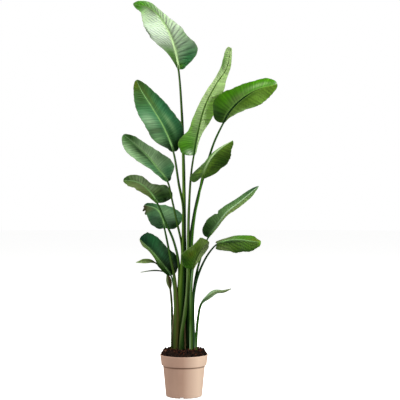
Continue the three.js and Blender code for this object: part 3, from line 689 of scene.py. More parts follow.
leaves["08"] = dict(
    leafUsual,
    stalk=[(-0.02, -0.038, 0.15), (-0.02, -0.038, 0.225), (-0.013, -0.038, 0.32), (0.003, -0.037, 0.42),
        (0.017, -0.035, 0.538), (0.021, -0.036, 0.781), (0.025, -0.044, 0.942), (0.036, -0.064, 1.117),
        (0.05, -0.084, 1.214)],
    blade=[(0.072, -0.1, 1.333), (0.106, -0.116, 1.46), (0.161, -0.128, 1.565), (0.213, -0.136, 1.645),
        (0.234, -0.14, 1.743)],
    breadth=((0, 0.022), (0.3, 0.022), (0.5, 0.019), (0.62, 0.017), (0.8, 0.012), (1, 0.009)),
    stations=(0.04, 0.1, 0.15, 0.2, 0.3, 0.45, 0.6, 0.75, 0.88),
    left=(0.026, 0.024, 0.03, 0.036, 0.062, 0.072, 0.054, 0.026, 0.018),
    right=(0.066, 0.092, 0.084, 0.058, 0.054, 0.048, 0.052, 0.06, 0.04),
    roll=(-145, -180, -200, -165), fold=(40, 45), curl=0, tipRound=0.35,
    stripes=((0.009, 0.2, 2, 0.02), (0.0105, 0.42, 3, -0.02)),
    # painted light: the pale sprout under side stands partly for light shining through the leaf from behind
    finish="fresh", upper=["grass soft soft"], under=["sprout sprout sprout", "grass sprout sprout"],
    ribUpper="pale pale pale", ribUnder="forest moss moss",
    stalkFinish="greenStalk", stalkTint="loam rind deep", stalkRightShade="ink moss moss",
    underColourAndLightPatches=[
        (1, 0.07, 0.6, 0.1, 0.6, "vivid", 0.8),
        (1, 0.05, 0.97, 0.07, 0.25, "grass", 0.8),
        (1, 0.02, 0.35, 0.03, 0.3, "white", 0.9),
        (1, 0.83, 0.75, 0.1, 0.5, "grass", 0.75),
        (1, 0.24, 0.85, 0.08, 0.3, "lime", 0.5),
        (-1, 0.85, 0.6, 0.12, 0.6, "celery", 0.5),
    ],
)
leaves["09"] = dict(
    leafUsual,
    stalk=[(0.026, 0.024, 0.15), (0.026, 0.024, 0.235), (0.026, 0.012, 0.48), (0.025, -0.002, 0.663),
        (0.033, -0.012, 0.8), (0.063, -0.036, 0.977), (0.111, -0.07, 1.151), (0.151, -0.098, 1.278),
        (0.196, -0.122, 1.372)],
    blade=[(0.225, -0.134, 1.424), (0.279, -0.15, 1.482), (0.357, -0.162, 1.532), (0.46, -0.17, 1.561)],
    breadth=((0, 0.026), (0.4, 0.023), (0.65, 0.016), (1, 0.009)),
    stations=(0.07, 0.13, 0.2, 0.3, 0.4, 0.5, 0.65, 0.8, 0.92),
    left=(0.02, 0.03, 0.046, 0.068, 0.085, 0.088, 0.072, 0.046, 0.024),
    right=(0.056, 0.076, 0.094, 0.086, 0.07, 0.06, 0.048, 0.046, 0.028),
    roll=(-140, -190), fold=(25, 28), curl=-10, stripes=((0.012, 0.5, 2, 0.07), (0.0125, 0.34, 1.4, 0)),
    finish="fresh", upper=["grass soft soft"], under=["khaki fern fern", "moss grass vivid"],
    ribUpper="pale pale pale", ribUnder="ink ink fern",
    # painted shade: the dark ink of this stalk stands partly for the shadow between the stalks
    stalkFinish="greenStalk", stalkTint="ink ink forest", stalkRightShade="ink ink forest",
    underColourAndLightPatches=[
        (1, 0.1, 0.65, 0.1, 0.7, "deep", 0.85),
        (1, 0.3, 0.75, 0.12, 0.4, "vivid", 0.6),
        (1, 0.4, 0.2, 0.14, 0.25, "khaki", 0.7),
        (1, 0.78, 0.95, 0.2, 0.3, "vivid", 0.9),
        (1, 0.72, 0.4, 0.16, 0.2, "pale", 0.6),
        (1, 0.93, 0.5, 0.05, 0.5, "grass", 0.7),
        (1, 1, 0.9, 0.04, 1, "white", 0.8),
        (-1, 0.3, 0.95, 0.25, 0.25, "pale", 0.6),
        (-1, 0.65, 0.5, 0.2, 0.5, "celery", 0.4),
        (-1, 0.5, 0.1, 0.2, 0.12, "forest", 0.6),
    ],
)
leaves["10"] = dict(
    leafUsual,
    stalk=[(0.016, -0.004, 0.15), (0.016, -0.004, 0.235), (0.024, -0.01, 0.43), (0.031, -0.018, 0.56),
        (0.035, -0.03, 0.67), (0.037, -0.042, 0.77), (0.054, -0.066, 0.917), (0.076, -0.094, 1.017),
        (0.091, -0.118, 1.101)],
    blade=[(0.116, -0.132, 1.167), (0.148, -0.144, 1.216), (0.19, -0.154, 1.253), (0.242, -0.162, 1.285)],
    breadth=((0, 0.028), (0.5, 0.024), (0.75, 0.015), (1, 0.009)),
    stations=(0.03, 0.07, 0.09, 0.12, 0.2, 0.3, 0.4, 0.5, 0.63, 0.8),
    left=(0.014, 0.025, 0.032, 0.042, 0.084, 0.101, 0.097, 0.084, 0.066, 0.036),
    right=(0.04, 0.06, 0.06, 0.05, 0.032, 0.02, 0.018, 0.016, 0.014, 0.014),
    roll=(-150, -225), fold=(35, 50), curl=-10, lobe=-70,
    stripes=((0.0125, 0.34, 1.5, 0), (0.01, 0.4, 1.6, 0)),
    finish="olive", upper=["forest leaf leaf"], under=["moss moss moss", "moss soft pale"],
    ribUpper="soft soft pale", ribUnder="moss pale pale",
    # painted shade: the dark ink of this stalk stands for the shadow it lies in under the blade
    stalkFinish="paleStalk", stalkTint="ink ink deep", stalkRightShade="ink deep grass",
    underColourAndLightPatches=[
        (-1, 0.1, 0.8, 0.09, 0.4, "forest", 0.6),
        (-1, 0.42, 0.75, 0.15, 0.35, "forest", 0.7),
        (-1, 0.8, 0.2, 0.18, 0.4, "fern", 0.5),
        (-1, 0.3, 0.15, 0.15, 0.15, "fern", 0.5),
        (1, 0.06, 0.5, 0.06, 0.7, "forest", 0.7),
        (1, 0.12, 0.35, 0.05, 0.3, "fern", 0.7),
    ],
)
leaves["11"] = dict(
    leafUsual,
    stalk=[(0.05, 0.025, 0.15), (0.05, 0.025, 0.235), (0.046, 0.024, 0.483), (0.055, 0.02, 0.576),
        (0.078, 0.008, 0.677), (0.122, -0.015, 0.801)],
    blade=[(0.162, -0.028, 0.858), (0.2145, -0.036, 0.929), (0.285, -0.036, 0.985), (0.377, -0.025, 1.062)],
    neck=0.008, breadth=((0, 0.019), (0.5, 0.015), (1, 0.008)),
    stations=(0.07, 0.18, 0.29, 0.4, 0.5, 0.62, 0.8, 0.9),
    left=(0.012, 0.014, 0.015, 0.02, 0.028, 0.027, 0.026, 0.015),
    right=(0.052, 0.064, 0.048, 0.038, 0.032, 0.027, 0.022, 0.015),
    roll=(-165, -175), fold=(40, 45), curl=-10, stripes=((0.0125, 0.2, 1.2, 0), (0.011, 0.36, 1.6, 0.01)),
    nicks=[(1, 0.33, 0.25, 0.03)],
    finish="olive", upper=["forest leaf leaf"], under=["celery celery soft", "deep soft slate"],
    # painted shade: the keel is forest at its base, where it lies in shadow
    ribUpper="soft soft pale", ribUnder="forest mist mist",
    stalkFinish="greenStalk", stalkTint="slate forest forest", stalkRightShade="slate forest forest",
    underColourAndLightPatches=[
        (1, 0.55, 0.9, 0.18, 0.5, "slate", 0.6),
        (1, 0.12, 0.6, 0.1, 0.5, "forest", 0.7),
        (-1, 0.3, 0.6, 0.1, 0.6, "forest", 0.5),
    ],
)
leaves["12"] = dict(
    leafUsual,
    stalk=[(0.04, -0.003, 0.15), (0.04, -0.003, 0.235), (0.043, 0.002, 0.461), (0.061, 0.002, 0.578),
        (0.096, 0.006, 0.671), (0.134, 0.01, 0.733), (0.169, 0.014, 0.768)],
    blade=[(0.227, 0.01, 0.787), (0.285, 0.0, 0.79), (0.343, -0.012, 0.783), (0.388, -0.025, 0.779)],
    neck=0.008, breadth=((0, 0.022), (0.4, 0.018), (1, 0.008)),
    stations=(0.07, 0.15, 0.28, 0.42, 0.55, 0.68, 0.8, 0.9),
    left=(0.02, 0.022, 0.026, 0.036, 0.046, 0.046, 0.03, 0.018),
    right=(0.034, 0.054, 0.076, 0.078, 0.074, 0.06, 0.044, 0.03),
    roll=(-55, -55), fold=(6, -12), lobe=-65, frill=0.05, pleats=(2.4, 2.4), columnsBetween=2,
    stripes=((0.02, 0.25, 1.2, 0.03), (0.03, 0.55, 1.8, 0.09)),
    finish="olive", upper=["khaki grass olive", "moss moss moss"], under=["moss moss olive"],
    ribUpper="soft soft soft", ribUnder="moss moss khaki",
    stalkFinish="paleStalk", stalkTint="grey slate deep", stalkRightShade="slate deep deep",
    upperColourAndLightPatches=[
        (-1, 0.1, 0.5, 0.16, 0.8, "khaki", 0.7),
        (-1, 0.6, 0.6, 0.16, 0.5, "grass", 0.8),
        (1, 0.3, 0.15, 0.22, 0.14, "deep", 0.85),
        (1, 0.14, 0.8, 0.1, 0.3, "khaki", 0.7),
        (1, 0.55, 0.95, 0.3, 0.18, "deep", 0.8),
        (1, 0.6, 0.45, 0.12, 0.3, "grass", 0.4),
        (0, 0.98, 0.5, 0.07, 0.9, "lime", 0.6),
    ],
)
leaves["13"] = dict(
    leafUsual,
    stalk=[(0.034, -0.031, 0.15), (0.034, -0.031, 0.24), (0.035, -0.048, 0.4), (0.037, -0.06, 0.54),
        (0.046, -0.078, 0.647)],
    blade=[(0.061, -0.13, 0.7), (0.086, -0.2, 0.748), (0.122, -0.29, 0.793)],
    breadth=((0, 0.022), (0.3, 0.019), (0.7, 0.015), (1, 0.009)),
    left=(0.014, 0.034, 0.043, 0.038, 0.019), right=(0.056, 0.076, 0.054, 0.043, 0.042),
    roll=(-180, -180), fold=(60, 15), stripes=((0.012, 0.35, 1.5, 0.05), (0.017, 0.48, 1.6, 0.05)),
    finish="olive", upper=["moss moss moss"], under=["celery celery celery", "grass fern fern"],
    ribUpper="khaki khaki soft", ribUnder="moss moss khaki",
    stalkFinish="paleStalk", stalkTint="mist moss sage", stalkRightShade="moss forest moss",
    underColourAndLightPatches=[
        (1, 0.3, 0.45, 0.1, 0.22, "olive", 0.85),
        (1, 0.55, 0.3, 0.12, 0.2, "moss", 0.7),
        (1, 0.12, 0.8, 0.08, 0.4, "forest", 0.7),
        (1, 0.8, 0.4, 0.14, 0.5, "celery", 0.6),
        (1, 0.62, 0.97, 0.4, 0.05, "pale", 0.9),
        (1, 0.42, 0.72, 0.07, 0.12, "celery", 0.6),
        (-1, 0.5, 0.9, 0.4, 0.2, "pale", 0.6),
        (1, 0.5, 0.05, 0.3, 0.08, "umber", 0.4),
    ],
)
leaves["14"] = dict(
    leafUsual,
    stalk=[(0.058, -0.031, 0.15), (0.058, -0.031, 0.235), (0.064, -0.031, 0.33), (0.07, -0.03, 0.387),
        (0.087, -0.028, 0.467)],
    blade=[(0.121, -0.035, 0.501), (0.159, -0.042, 0.529), (0.199, -0.055, 0.533), (0.237, -0.066, 0.547)],
    sheath=0.014, neck=0.007, breadth=((0, 0.019), (0.5, 0.016), (1, 0.012)),
    left=(0.007, 0.011, 0.015, 0.01, 0.007), right=(0.007, 0.011, 0.015, 0.01, 0.007),
    roll=(-175, -175), fold=(25, 25), curl=0, wave=0.003, stripes=((0.008, 0.4, 1.5, 0),),
    finish="olive", upper=["moss sage khaki"], under=["sage mist khaki"],
    ribUpper="grey grey sage", ribUnder="slate khaki khaki",
    stalkFinish="paleStalk", stalkTint="mist forest forest", stalkRightShade="moss forest forest",
)


# leaf blades
bladeLook = {
    "seed": 100,
    # degrees by which the side veins lean forward from the lobes on to the tip
    "lean": (8, 22, 34, 40),
    "tipRib": 0.0008,
    "ribTaper": 0.8,
    "laminaRise": 0.6,
    "leastReach": 0.0015,
    "leastCurl": 0.01,
    "waves": 3,
    "sideShift": 0.25,
    "phaseStep": 0.37,
    "waveWidth": 0.08,
    # fine form: rows follow the side veins, columns run from the midrib's side to the margin
    "rowStep": 0.0023,
    "leastRows": 48,
    "rowCrowding": 0.45,
    "columns": (0, 0.025, 0.06, 0.11, 0.17, 0.25, 0.34, 0.43, 0.52, 0.62, 0.72, 0.81, 0.89, 0.95, 0.985, 1),
    "halfThickness": 0.0003,
    "edgeThickness": 0.00008,
    "thinFrom": 0.85,
    # pleats and stripes waver by these amounts over these lengths
    "pleatPitch": 0.0125,
    "pleatHeight": 0.0004,
    "pleatWaver": ((1.3, 0.071), (0.9, 0.033)),
    "pleatStart": 0.12,
    "pleatFade": (0.7, 0.3),
    "pleatWidth": 0.04,
    "stripeWaver": ((0.9, 0.083), (0.5, 0.031)),
    "stripeStart": 0.06,
    "stripeFade": (0.5, 0.5),
    "frill": 0.0022,
    "frillCount": 8,
    "unevenEdge": (0.01, 0.006),
    "unevenCounts": (11, 23),
    "sag": 0.0014,
    "sagTurns": (5, 3.1),
    "sagStart": 0.4,
    # radians, a random start lies anywhere in them
    "anyStart": 6,
}
# the midrib's cross section in shares of its radius: a channel above and a round keel below
ribTop = ((0, 0.3), (0.3, 0.33), (0.55, 0.41), (0.78, 0.52), (0.92, 0.58))
ribKeel = ((0, -1), (0.38, -0.92), (0.71, -0.71), (0.92, -0.38), (1, 0.05))


def halfWidths(widths, share, stations, tipPower):
    # a smooth margin through the half widths, rounded at the base and the tip
    stations = np.array(stations)
    w = np.array(widths)
    slopes = np.gradient(w)
    slopes[1:-1] = (w[2:] - w[:-2]) / (stations[2:] - stations[:-2])
    slopes[0] = (w[1] - w[0]) / (stations[1] - stations[0])
    slopes[-1] = (w[-1] - w[-2]) / (stations[-1] - stations[-2])
    inside = np.clip(share, stations[0], stations[-1])
    i = np.clip(np.searchsorted(stations, inside, side="left") - 1, 0, len(w) - 2)
    span = stations[i + 1] - stations[i]
    u = (inside - stations[i]) / span
    width = w[i] * (1 + 2 * u) * (1 - u) ** 2 + slopes[i] * span * u * (1 - u) ** 2
    width += w[i + 1] * u**2 * (3 - 2 * u) + slopes[i + 1] * span * u**2 * (u - 1)
    baseRound = np.sqrt(np.clip(share / stations[0], 0, 1))
    tipRound = np.clip((1 - share) / (1 - stations[-1]), 0, 1) ** tipPower
    return width * baseRound * tipRound


def rollAlong(leaf, row):
    return np.interp(row, np.linspace(0, 1, len(leaf["roll"])), leaf["roll"])


def columnsOf(leaf):
    # blades with leaning stripes get more columns between the usual ones
    columns = bladeLook["columns"]
    between = leaf["columnsBetween"]
    count = between * (len(columns) - 1) + 1
    return np.interp(np.arange(count) / between, np.arange(len(columns)), columns)


def fadeAcross(c, start, fade):
    # nothing at the midrib, all from start on, and less again towards the margin
    loss, lossFrom = fade
    return smoothStep(0, start, c) * (1 - loss * smoothStep(lossFrom, 1, c))


def waver(distance, waves, shift):
    (amount, length), (fineAmount, fineLength) = waves
    return amount * swing(distance / length, shift) + fineAmount * swing(distance / fineLength)


def stripesAcross(leaf, side, distance, c):
    # darker lines along the side veins, as a share of the tint: partly the veins' own colour, partly painted
    # shade in the pleats' valleys
    pitch, depth, sharpness, shift = leaf["stripes"][0 if side < 0 else -1]
    bend = waver(distance, bladeLook["stripeWaver"], side) - 2 * np.pi * shift * c / pitch
    line = (0.5 + 0.5 * swing(distance / pitch, bend)) ** sharpness
    return depth * line * fadeAcross(c, bladeLook["stripeStart"], bladeLook["stripeFade"])


def patchedTint(leaf, face, side, share, c):
    # the colours along one half of a face, with its soft patches on them: some are the leaf's own colour,
    # others painted highlights, sheen and painted shade
    tint = tintAlong(leaf[face][0 if side < 0 else -1], share)
    for patchSide, along, across, long, wide, tone, strength in leaf[face + "ColourAndLightPatches"]:
        if patchSide in (side, 0):
            weight = strength * np.exp(-((share - along) / long) ** 2 - ((c - across) / wide) ** 2)[:, None]
            tint = tint + (np.array(linear(tones[tone])) - tint) * weight
    return tint


def halfBlade(leaf, frames, share, distance, side, rib, phase, draw):
    # one half of a blade: grids of points on the upper and the under face, midrib side first
    look = bladeLook
    half = 0 if side < 0 else 1
    c = columnsOf(leaf)[None, :]
    width = halfWidths(leaf[("left", "right")[half]], share, leaf["stations"], leaf["tipRound"])
    uneven = 1
    for amount, count in zip(look["unevenEdge"], look["unevenCounts"]):
        uneven = uneven + amount * swing(count * share + draw.random())
    width = width * uneven
    for nickSide, place, depth, span in leaf["nicks"]:
        if nickSide == side:
            width = width * (1 - depth * np.clip(1 - np.abs(share - place) / span, 0, 1))
    reach = np.maximum(width - rib, look["leastReach"])[:, None]
    start = math.radians(leaf["fold"][half])
    bend = math.radians(leaf["curl"] or look["leastCurl"])
    angle = start + bend * c
    across = rib[:, None] + reach * (np.sin(angle) - math.sin(start)) / bend
    bow = reach * (math.cos(start) - np.cos(angle)) / bend
    scale = width[:, None] / look["waveWidth"]
    ripple = swing(look["waves"] * share + look["sideShift"] * side + phase)[:, None]
    wave = leaf["wave"] * c**2 * ripple * scale
    frill = swing(look["frillCount"] * share + draw.random())[:, None]
    frill = leaf["frill"] * look["frill"] * c**4 * frill * scale
    leans = (leaf["lobe"], *look["lean"])
    lean = np.radians(np.interp(share, np.linspace(0, 1, len(leans)), leans))
    forward = (across - rib[:, None]) * np.tan(lean)[:, None]
    # pleats run along the side veins and die away to the margin
    bends = waver(distance, look["pleatWaver"], look["anyStart"] * draw.random())
    pleat = leaf["pleats"][half] * look["pleatHeight"] * swing(distance / look["pleatPitch"], bends)[:, None]
    fade = fadeAcross(c, look["pleatStart"], look["pleatFade"])
    fade = fade * np.clip(width / look["pleatWidth"], 0, 1)[:, None]
    sagAlong, sagAcross = look["sagTurns"]
    sag = np.sin(sagAlong * share + look["anyStart"] * draw.random())[:, None]
    sag = look["sag"] * sag * np.sin(sagAcross * c + look["anyStart"] * draw.random())
    relief = pleat * fade + sag * smoothStep(0, look["sagStart"], c) * np.clip(scale, 0, 1)
    lift = look["laminaRise"] * rib[:, None] + bow + wave + frill
    thinner = (look["edgeThickness"] - look["halfThickness"]) * smoothStep(look["thinFrom"], 1, c)
    thickness = look["halfThickness"] + thinner
    faces = []
    for out in (thickness, -thickness):
        outward = relief + out
        outAcross = side * across - side * np.sin(angle) * outward
        faces.append(pointsOf(frames, outAcross, lift + np.cos(angle) * outward, forward))
    return faces


def ribPoints(frames, rib, outline, side):
    across, lift = (rib[:, None] * np.array(part)[None, :] for part in zip(*outline))
    return pointsOf(frames, side * across, lift)


def makeBlade(name, leaf, index):
    look = bladeLook
    draw = random.Random(look["seed"] + index)
    way = wayThrough([*leaf["stalk"], *leaf["blade"]])
    first = way["lengths"][waySteps * max(len(leaf["stalk"]) - 1, 0)]
    length = way["lengths"][-1] - first
    rows = max(look["leastRows"], int(length / look["rowStep"]))
    t = np.linspace(0, 1, rows)
    row = t - look["rowCrowding"] * swing(t) / (2 * np.pi)
    share = np.clip((row - leaf["bare"]) / (1 - leaf["bare"]), 0, 1)
    distance = row * length
    frames = framesAt(way, first + distance, rollAlong(leaf, row))
    rib = leaf["neck"] / 2 * (1 - row) ** look["ribTaper"] + look["tipRib"]
    phase = look["phaseStep"] * index

    tops = {}
    keels = {}
    for side in (-1, 1):
        upperFace, underFace = halfBlade(leaf, frames, share, distance, side, rib, phase, draw)
        tops[side] = np.concatenate([ribPoints(frames, rib, ribTop[1:], side), upperFace], axis=1)
        keels[side] = np.concatenate([ribPoints(frames, rib, ribKeel[1:], side), underFace], axis=1)
    middleTop = ribPoints(frames, rib, ribTop[:1], 1)
    middleKeel = ribPoints(frames, rib, ribKeel[:1], 1)
    rings = [tops[-1][:, ::-1], middleTop, tops[1], keels[1][:, ::-1], middleKeel, keels[-1]]
    ring = np.concatenate(rings, axis=1)
    around = ring.shape[1]

    # per point: column share, half and face, for the material of each face, its uv and its tint
    ribCount = len(ribTop) - 1
    columns = np.array([0] * ribCount + list(columnsOf(leaf)))
    inRib = np.array([True] * ribCount + [False] * len(columnsOf(leaf)))
    c = np.concatenate([-columns[::-1], [0], columns, columns[::-1], [0], -columns])
    ribColumn = np.concatenate([inRib[::-1], [True], inRib, inRib[::-1], [True], inRib])
    half = around // 2
    under = np.arange(around) >= half
    # materials in their order on the blade: 0 upper, 1 under and 2 the midrib
    isRib = ribColumn | np.roll(ribColumn, -1)
    faceKind = np.where(isRib, 2, np.where(under & np.roll(under, -1), 1, 0))

    tint = np.empty((rows, around, 3))
    for k in range(around):
        side = -1 if c[k] < 0 else 1
        out = abs(c[k])
        face = "under" if under[k] else "upper"
        if ribColumn[k]:
            tint[:, k] = tintAlong(leaf["ribUnder" if under[k] else "ribUpper"], share)
        else:
            stripes = stripesAcross(leaf, side, distance, out)[:, None]
            tint[:, k] = patchedTint(leaf, face, side, share, out) * (1 - stripes)
    uv = np.empty((rows, around, 2))
    uv[..., 0] = 0.5 + 0.5 * c[None, :]
    uv[..., 1] = distance[:, None] / uvLength

    # strips that close both ends between the upper and the under face
    ends = []
    last = (rows - 1) * around
    for k in range(half - 1):
        a, b, d, e = k, k + 1, around - 1 - k, around - 2 - k
        ends.append((b, a, d, e))
        ends.append((last + a, last + b, last + e, last + d))
    faces = np.vstack([ringFaces(rows, around), ends])
    faceMaterial = np.concatenate([np.tile(faceKind, rows - 1), np.zeros(len(ends), int)])
    finish = finishes[leaf["finish"]]
    materials = [finish["upper"], finish["under"], finish["rib"]]
    return addPiece("leafBlade" + name, ring, faces, "leaf_blade_" + name, materials,
                    faceMaterial, uv, tint)


# leaf stalks, each with a clasping sheath at the soil
stalkLook = {
    "seed": 300,
    "sides": 28,
    "ringStep": 0.007,
    "channel": 0.3,
    "channelSharpness": 6,
    # the sheath's channel is deeper and opens wider
    "sheathChannel": 0.25,
    "sheathRange": (0.1, 0.35),
    "narrowRange": (0.04, 0.55),
    "turnFrom": 0.45,
    "inwardRoll": 90,
    # the stalk runs on into the midrib so that the two read as one
    "runOn": 0.03,
    "runOnTaper": 0.5,
    "uneven": 0.02,
    "unevenLength": 0.13,
    "wrinkles": 7,
    "wrinkleLength": 0.004,
    "wrinkleHeight": 0.0012,
    "leastSwell": 0.001,
    # painted shade: the right hand colours, mostly darker for a shaded side, come in between these shares of
    # the half breadth
    "shadeTurn": (-0.7, 0.5),
}


def anglesAround(sides):
    return 2 * np.pi * np.arange(sides) / sides


def makeStalk(name, leaf, index):
    look = stalkLook
    draw = random.Random(look["seed"] + index)
    way = wayThrough([*leaf["stalk"], *leaf["blade"]])
    last = way["lengths"][waySteps * (len(leaf["stalk"]) - 1)]
    end = last + look["runOn"]
    distance = np.linspace(0, end, int(end / look["ringStep"]))
    share = np.clip(distance / last, 0, 1)
    swell, knobLength = leaf["knob"]
    swell = swell * np.sin(np.pi * np.clip((last - distance) / knobLength, 0, 1))
    inward = math.copysign(look["inwardRoll"], leaf["roll"][0])
    roll = inward + (leaf["roll"][0] - inward) * smoothStep(look["turnFrom"], 1, share)
    frames = framesAt(way, distance, roll)
    breadth = np.interp(share, *zip(*leaf["breadth"])) + 2 * swell
    width = leaf["sheath"] + (breadth - leaf["sheath"]) * smoothStep(*look["narrowRange"], share)
    taper = 1 - look["runOnTaper"] * np.clip((distance - last) / look["runOn"], 0, 1)
    taper = taper * (1 + look["uneven"] * swing(distance / look["unevenLength"] + draw.random()))
    angle = anglesAround(look["sides"])
    halfWidth = (width / 2 * taper)[:, None]
    halfBreadth = (breadth / 2 * taper)[:, None]
    sheathed = 1 - smoothStep(*look["sheathRange"], share)
    channel = (look["channel"] + look["sheathChannel"] * sheathed)[:, None]
    cut = channel * halfBreadth * np.maximum(0, np.sin(angle)) ** look["channelSharpness"]
    across = -halfWidth * np.cos(angle)
    lift = halfBreadth * np.sin(angle) - cut
    if leaf["wrinkled"]:
        wrinkle = np.sin(distance / look["wrinkleLength"])[:, None] * np.sin(look["wrinkles"] * angle)
        lift = lift + look["wrinkleHeight"] * wrinkle * (swell > look["leastSwell"])[:, None]
    points = pointsOf(frames, across, lift)
    # painted light and shade: seen from the front, the right side gets other colours than the left, mostly
    # darker ones for a shaded side
    x = points[..., 0]
    middle = x.mean(axis=1)[:, None]
    reach = np.ptp(x, axis=1)[:, None] / 2
    toShadedSide = smoothStep(*look["shadeTurn"], (x - middle) / reach)[..., None]
    leftTint = tintAlong(leaf["stalkTint"], share)[:, None, :]
    rightShadeTint = tintAlong(leaf["stalkRightShade"], share)[:, None, :]
    tint = leftTint + (rightShadeTint - leftTint) * toShadedSide
    return addTube("leafStalk" + name, "leaf_stalk_" + name, finishes[leaf["stalkFinish"]], points, angle,
                   distance, tint)


# dry sheaths, pale papery points between the stalks
drySheathLook = {
    "width": 0.015,
    "depth": 0.004,
    "narrowing": 0.92,
    "narrowingPower": 2.5,
    "thinning": 0.5,
    "hollow": 0.55,
    "crumple": (0.06, 0.04),
    "crumpleTurns": (38, 91),
    "ribs": 9,
    "ribDepth": 0.12,
    "rings": 56,
    "sides": 26,
    "tint": "umber bark straw",
}
drySheaths = [
    {
        "name": "left",
        "way": [(-0.06, -0.017, 0.15), (-0.06, -0.017, 0.235), (-0.057, -0.019, 0.33),
            (-0.052, -0.02, 0.415)],
        "roll": 75,
        "size": 1,
    },
    {
        "name": "middle",
        "way": [(0.007, -0.021, 0.15), (0.007, -0.021, 0.235), (0.004, -0.019, 0.4),
            (0.002, -0.018, 0.513)],
        "roll": 10,
        "size": 0.6,
    },
]


def makeDrySheath(sheath, index):
    look = drySheathLook
    way = wayThrough(sheath["way"])
    share = np.linspace(0, 1, look["rings"])
    distance = share * way["lengths"][-1]
    frames = framesAt(way, distance, sheath["roll"])
    narrow = 1 - look["narrowing"] * share ** look["narrowingPower"]
    broadTurns, fineTurns = look["crumpleTurns"]
    crumple = 1 + look["crumple"][0] * np.sin(broadTurns * share + index)
    crumple = crumple + look["crumple"][1] * np.sin(fineTurns * share)
    halfWidth = (look["width"] * sheath["size"] / 2 * narrow * crumple)[:, None]
    halfDepth = (look["depth"] / 2 * (1 - look["thinning"] * share))[:, None]
    angle = anglesAround(look["sides"])
    ribs = 1 + look["ribDepth"] * np.sin(look["ribs"] * angle)
    lift = halfDepth * (np.sin(angle) * ribs - look["hollow"] * np.sin(angle) ** 2)
    points = pointsOf(frames, -halfWidth * np.cos(angle), lift)
    tint = np.repeat(tintAlong(look["tint"], share)[:, None, :], look["sides"], axis=1)
    return addTube("drySheath_" + sheath["name"], "dry_sheath_" + sheath["name"], finishes["drySheath"],
                   points, angle, distance, tint)


# the pot, a thin moulded shell
potLook = {
    "height": 0.212,
    "rimRadius": 0.1216,
    "wall": 0.0026,
    "rimRound": 0.001,
    "footRadius": 0.0882,
    "footWidth": 0.008,
    "centreDisc": 0.03,
    "recess": 0.0035,
    "floorTop": 0.006,
    "cornerRadius": 0.0917,
    "bandBottom": 0.154,
    "bandStep": 0.004,
    "underBand": 0.1066,
    "bandRadius": 0.1147,
    "drainHoles": 8,
    "drainRadius": 0.0045,
    "drainSides": 32,
    "drainCircle": 0.058,
    "notches": 4,
    "notchTurn": -0.115,
    "notchWidth": 0.019,
    "notchHeight": 0.0075,
    "sides": 160,
    "longest": 0.012,
    "bend": 0.0012,
    "bendSteps": 4,
    "sharpFrom": 38,
}


def roundCorners(outline, radius, steps):
    # each inner corner of an open outline becomes a short curve, which takes less than half a side
    nearHalf = 0.45
    rounded = [outline[0]]
    for before, corner, after in zip(outline, outline[1:], outline[2:]):
        q = np.array(corner)
        ends = []
        for other in (before, after):
            away = np.array(other) - q
            far = np.linalg.norm(away)
            ends.append(q + away / far * min(radius, nearHalf * far))
        for k in range(steps + 1):
            t = k / steps
            rounded.append(tuple((1 - t) ** 2 * ends[0] + 2 * t * (1 - t) * q + t**2 * ends[1]))
    rounded.append(outline[-1])
    return rounded


def splitLong(outline, longest):
    fine = [outline[0]]
    for p, q in zip(outline, outline[1:]):
        pieces = max(1, math.ceil(math.dist(p, q) / longest))
        for k in range(1, pieces + 1):
            fine.append((p[0] + (q[0] - p[0]) * k / pieces, p[1] + (q[1] - p[1]) * k / pieces))
    return fine


def innerWall():
    # the inside of the shell from the floor's edge up to the band
    look = potLook
    w = look["wall"]
    return [
        (look["cornerRadius"] - 2 * w, look["floorTop"]),
        (look["cornerRadius"] - w, look["floorTop"] + w),
        (look["underBand"] - w, look["bandBottom"] + w),
        (look["bandRadius"] - w, look["bandBottom"] + look["bandStep"] + w),
    ]


def innerRim():
    return (potLook["rimRadius"] - potLook["wall"], potLook["height"] - potLook["rimRound"])


def potOutline():
    look = potLook
    footIn = look["footRadius"] - look["footWidth"]
    outline = [
        (0, 0),
        (look["centreDisc"], 0),
        (look["centreDisc"] + look["recess"], look["recess"]),
        (footIn - look["recess"], look["recess"]),
        (footIn, 0),
        (look["footRadius"], 0),
        (look["cornerRadius"], look["recess"]),
        (look["underBand"], look["bandBottom"]),
        (look["bandRadius"], look["bandBottom"] + look["bandStep"]),
        (look["rimRadius"], look["height"] - look["rimRound"]),
        (look["rimRadius"] - look["wall"] / 2, look["height"]),
        innerRim(),
        *innerWall()[::-1],
        (0, look["floorTop"]),
    ]
    return splitLong(roundCorners(outline, look["bend"], look["bendSteps"]), look["longest"])


def turnedMesh(name, outline, sides):
    # a body of revolution about Z, its outline starts and ends on the axis
    angle = anglesAround(sides)
    r, z = (np.array(part)[:, None] for part in zip(*outline[1:-1]))
    rings = np.stack([r * np.cos(angle), r * np.sin(angle), z + 0 * angle], axis=-1)
    points = rings.reshape(-1, 3).tolist() + [(0, 0, outline[0][1]), (0, 0, outline[-1][1])]
    faces = ringFaces(len(r), sides).tolist()
    bottom, top = len(points) - 2, len(points) - 1
    last = (len(r) - 1) * sides
    faces += [(bottom, (k + 1) % sides, k) for k in range(sides)]
    faces += [(top, last + k, last + (k + 1) % sides) for k in range(sides)]
    mesh = bpy.data.meshes.new(name)
    mesh.from_pydata(points, [], faces)
    return mesh


def circlePoint(radius, angle):
    return (radius * math.cos(angle), radius * math.sin(angle), 0)


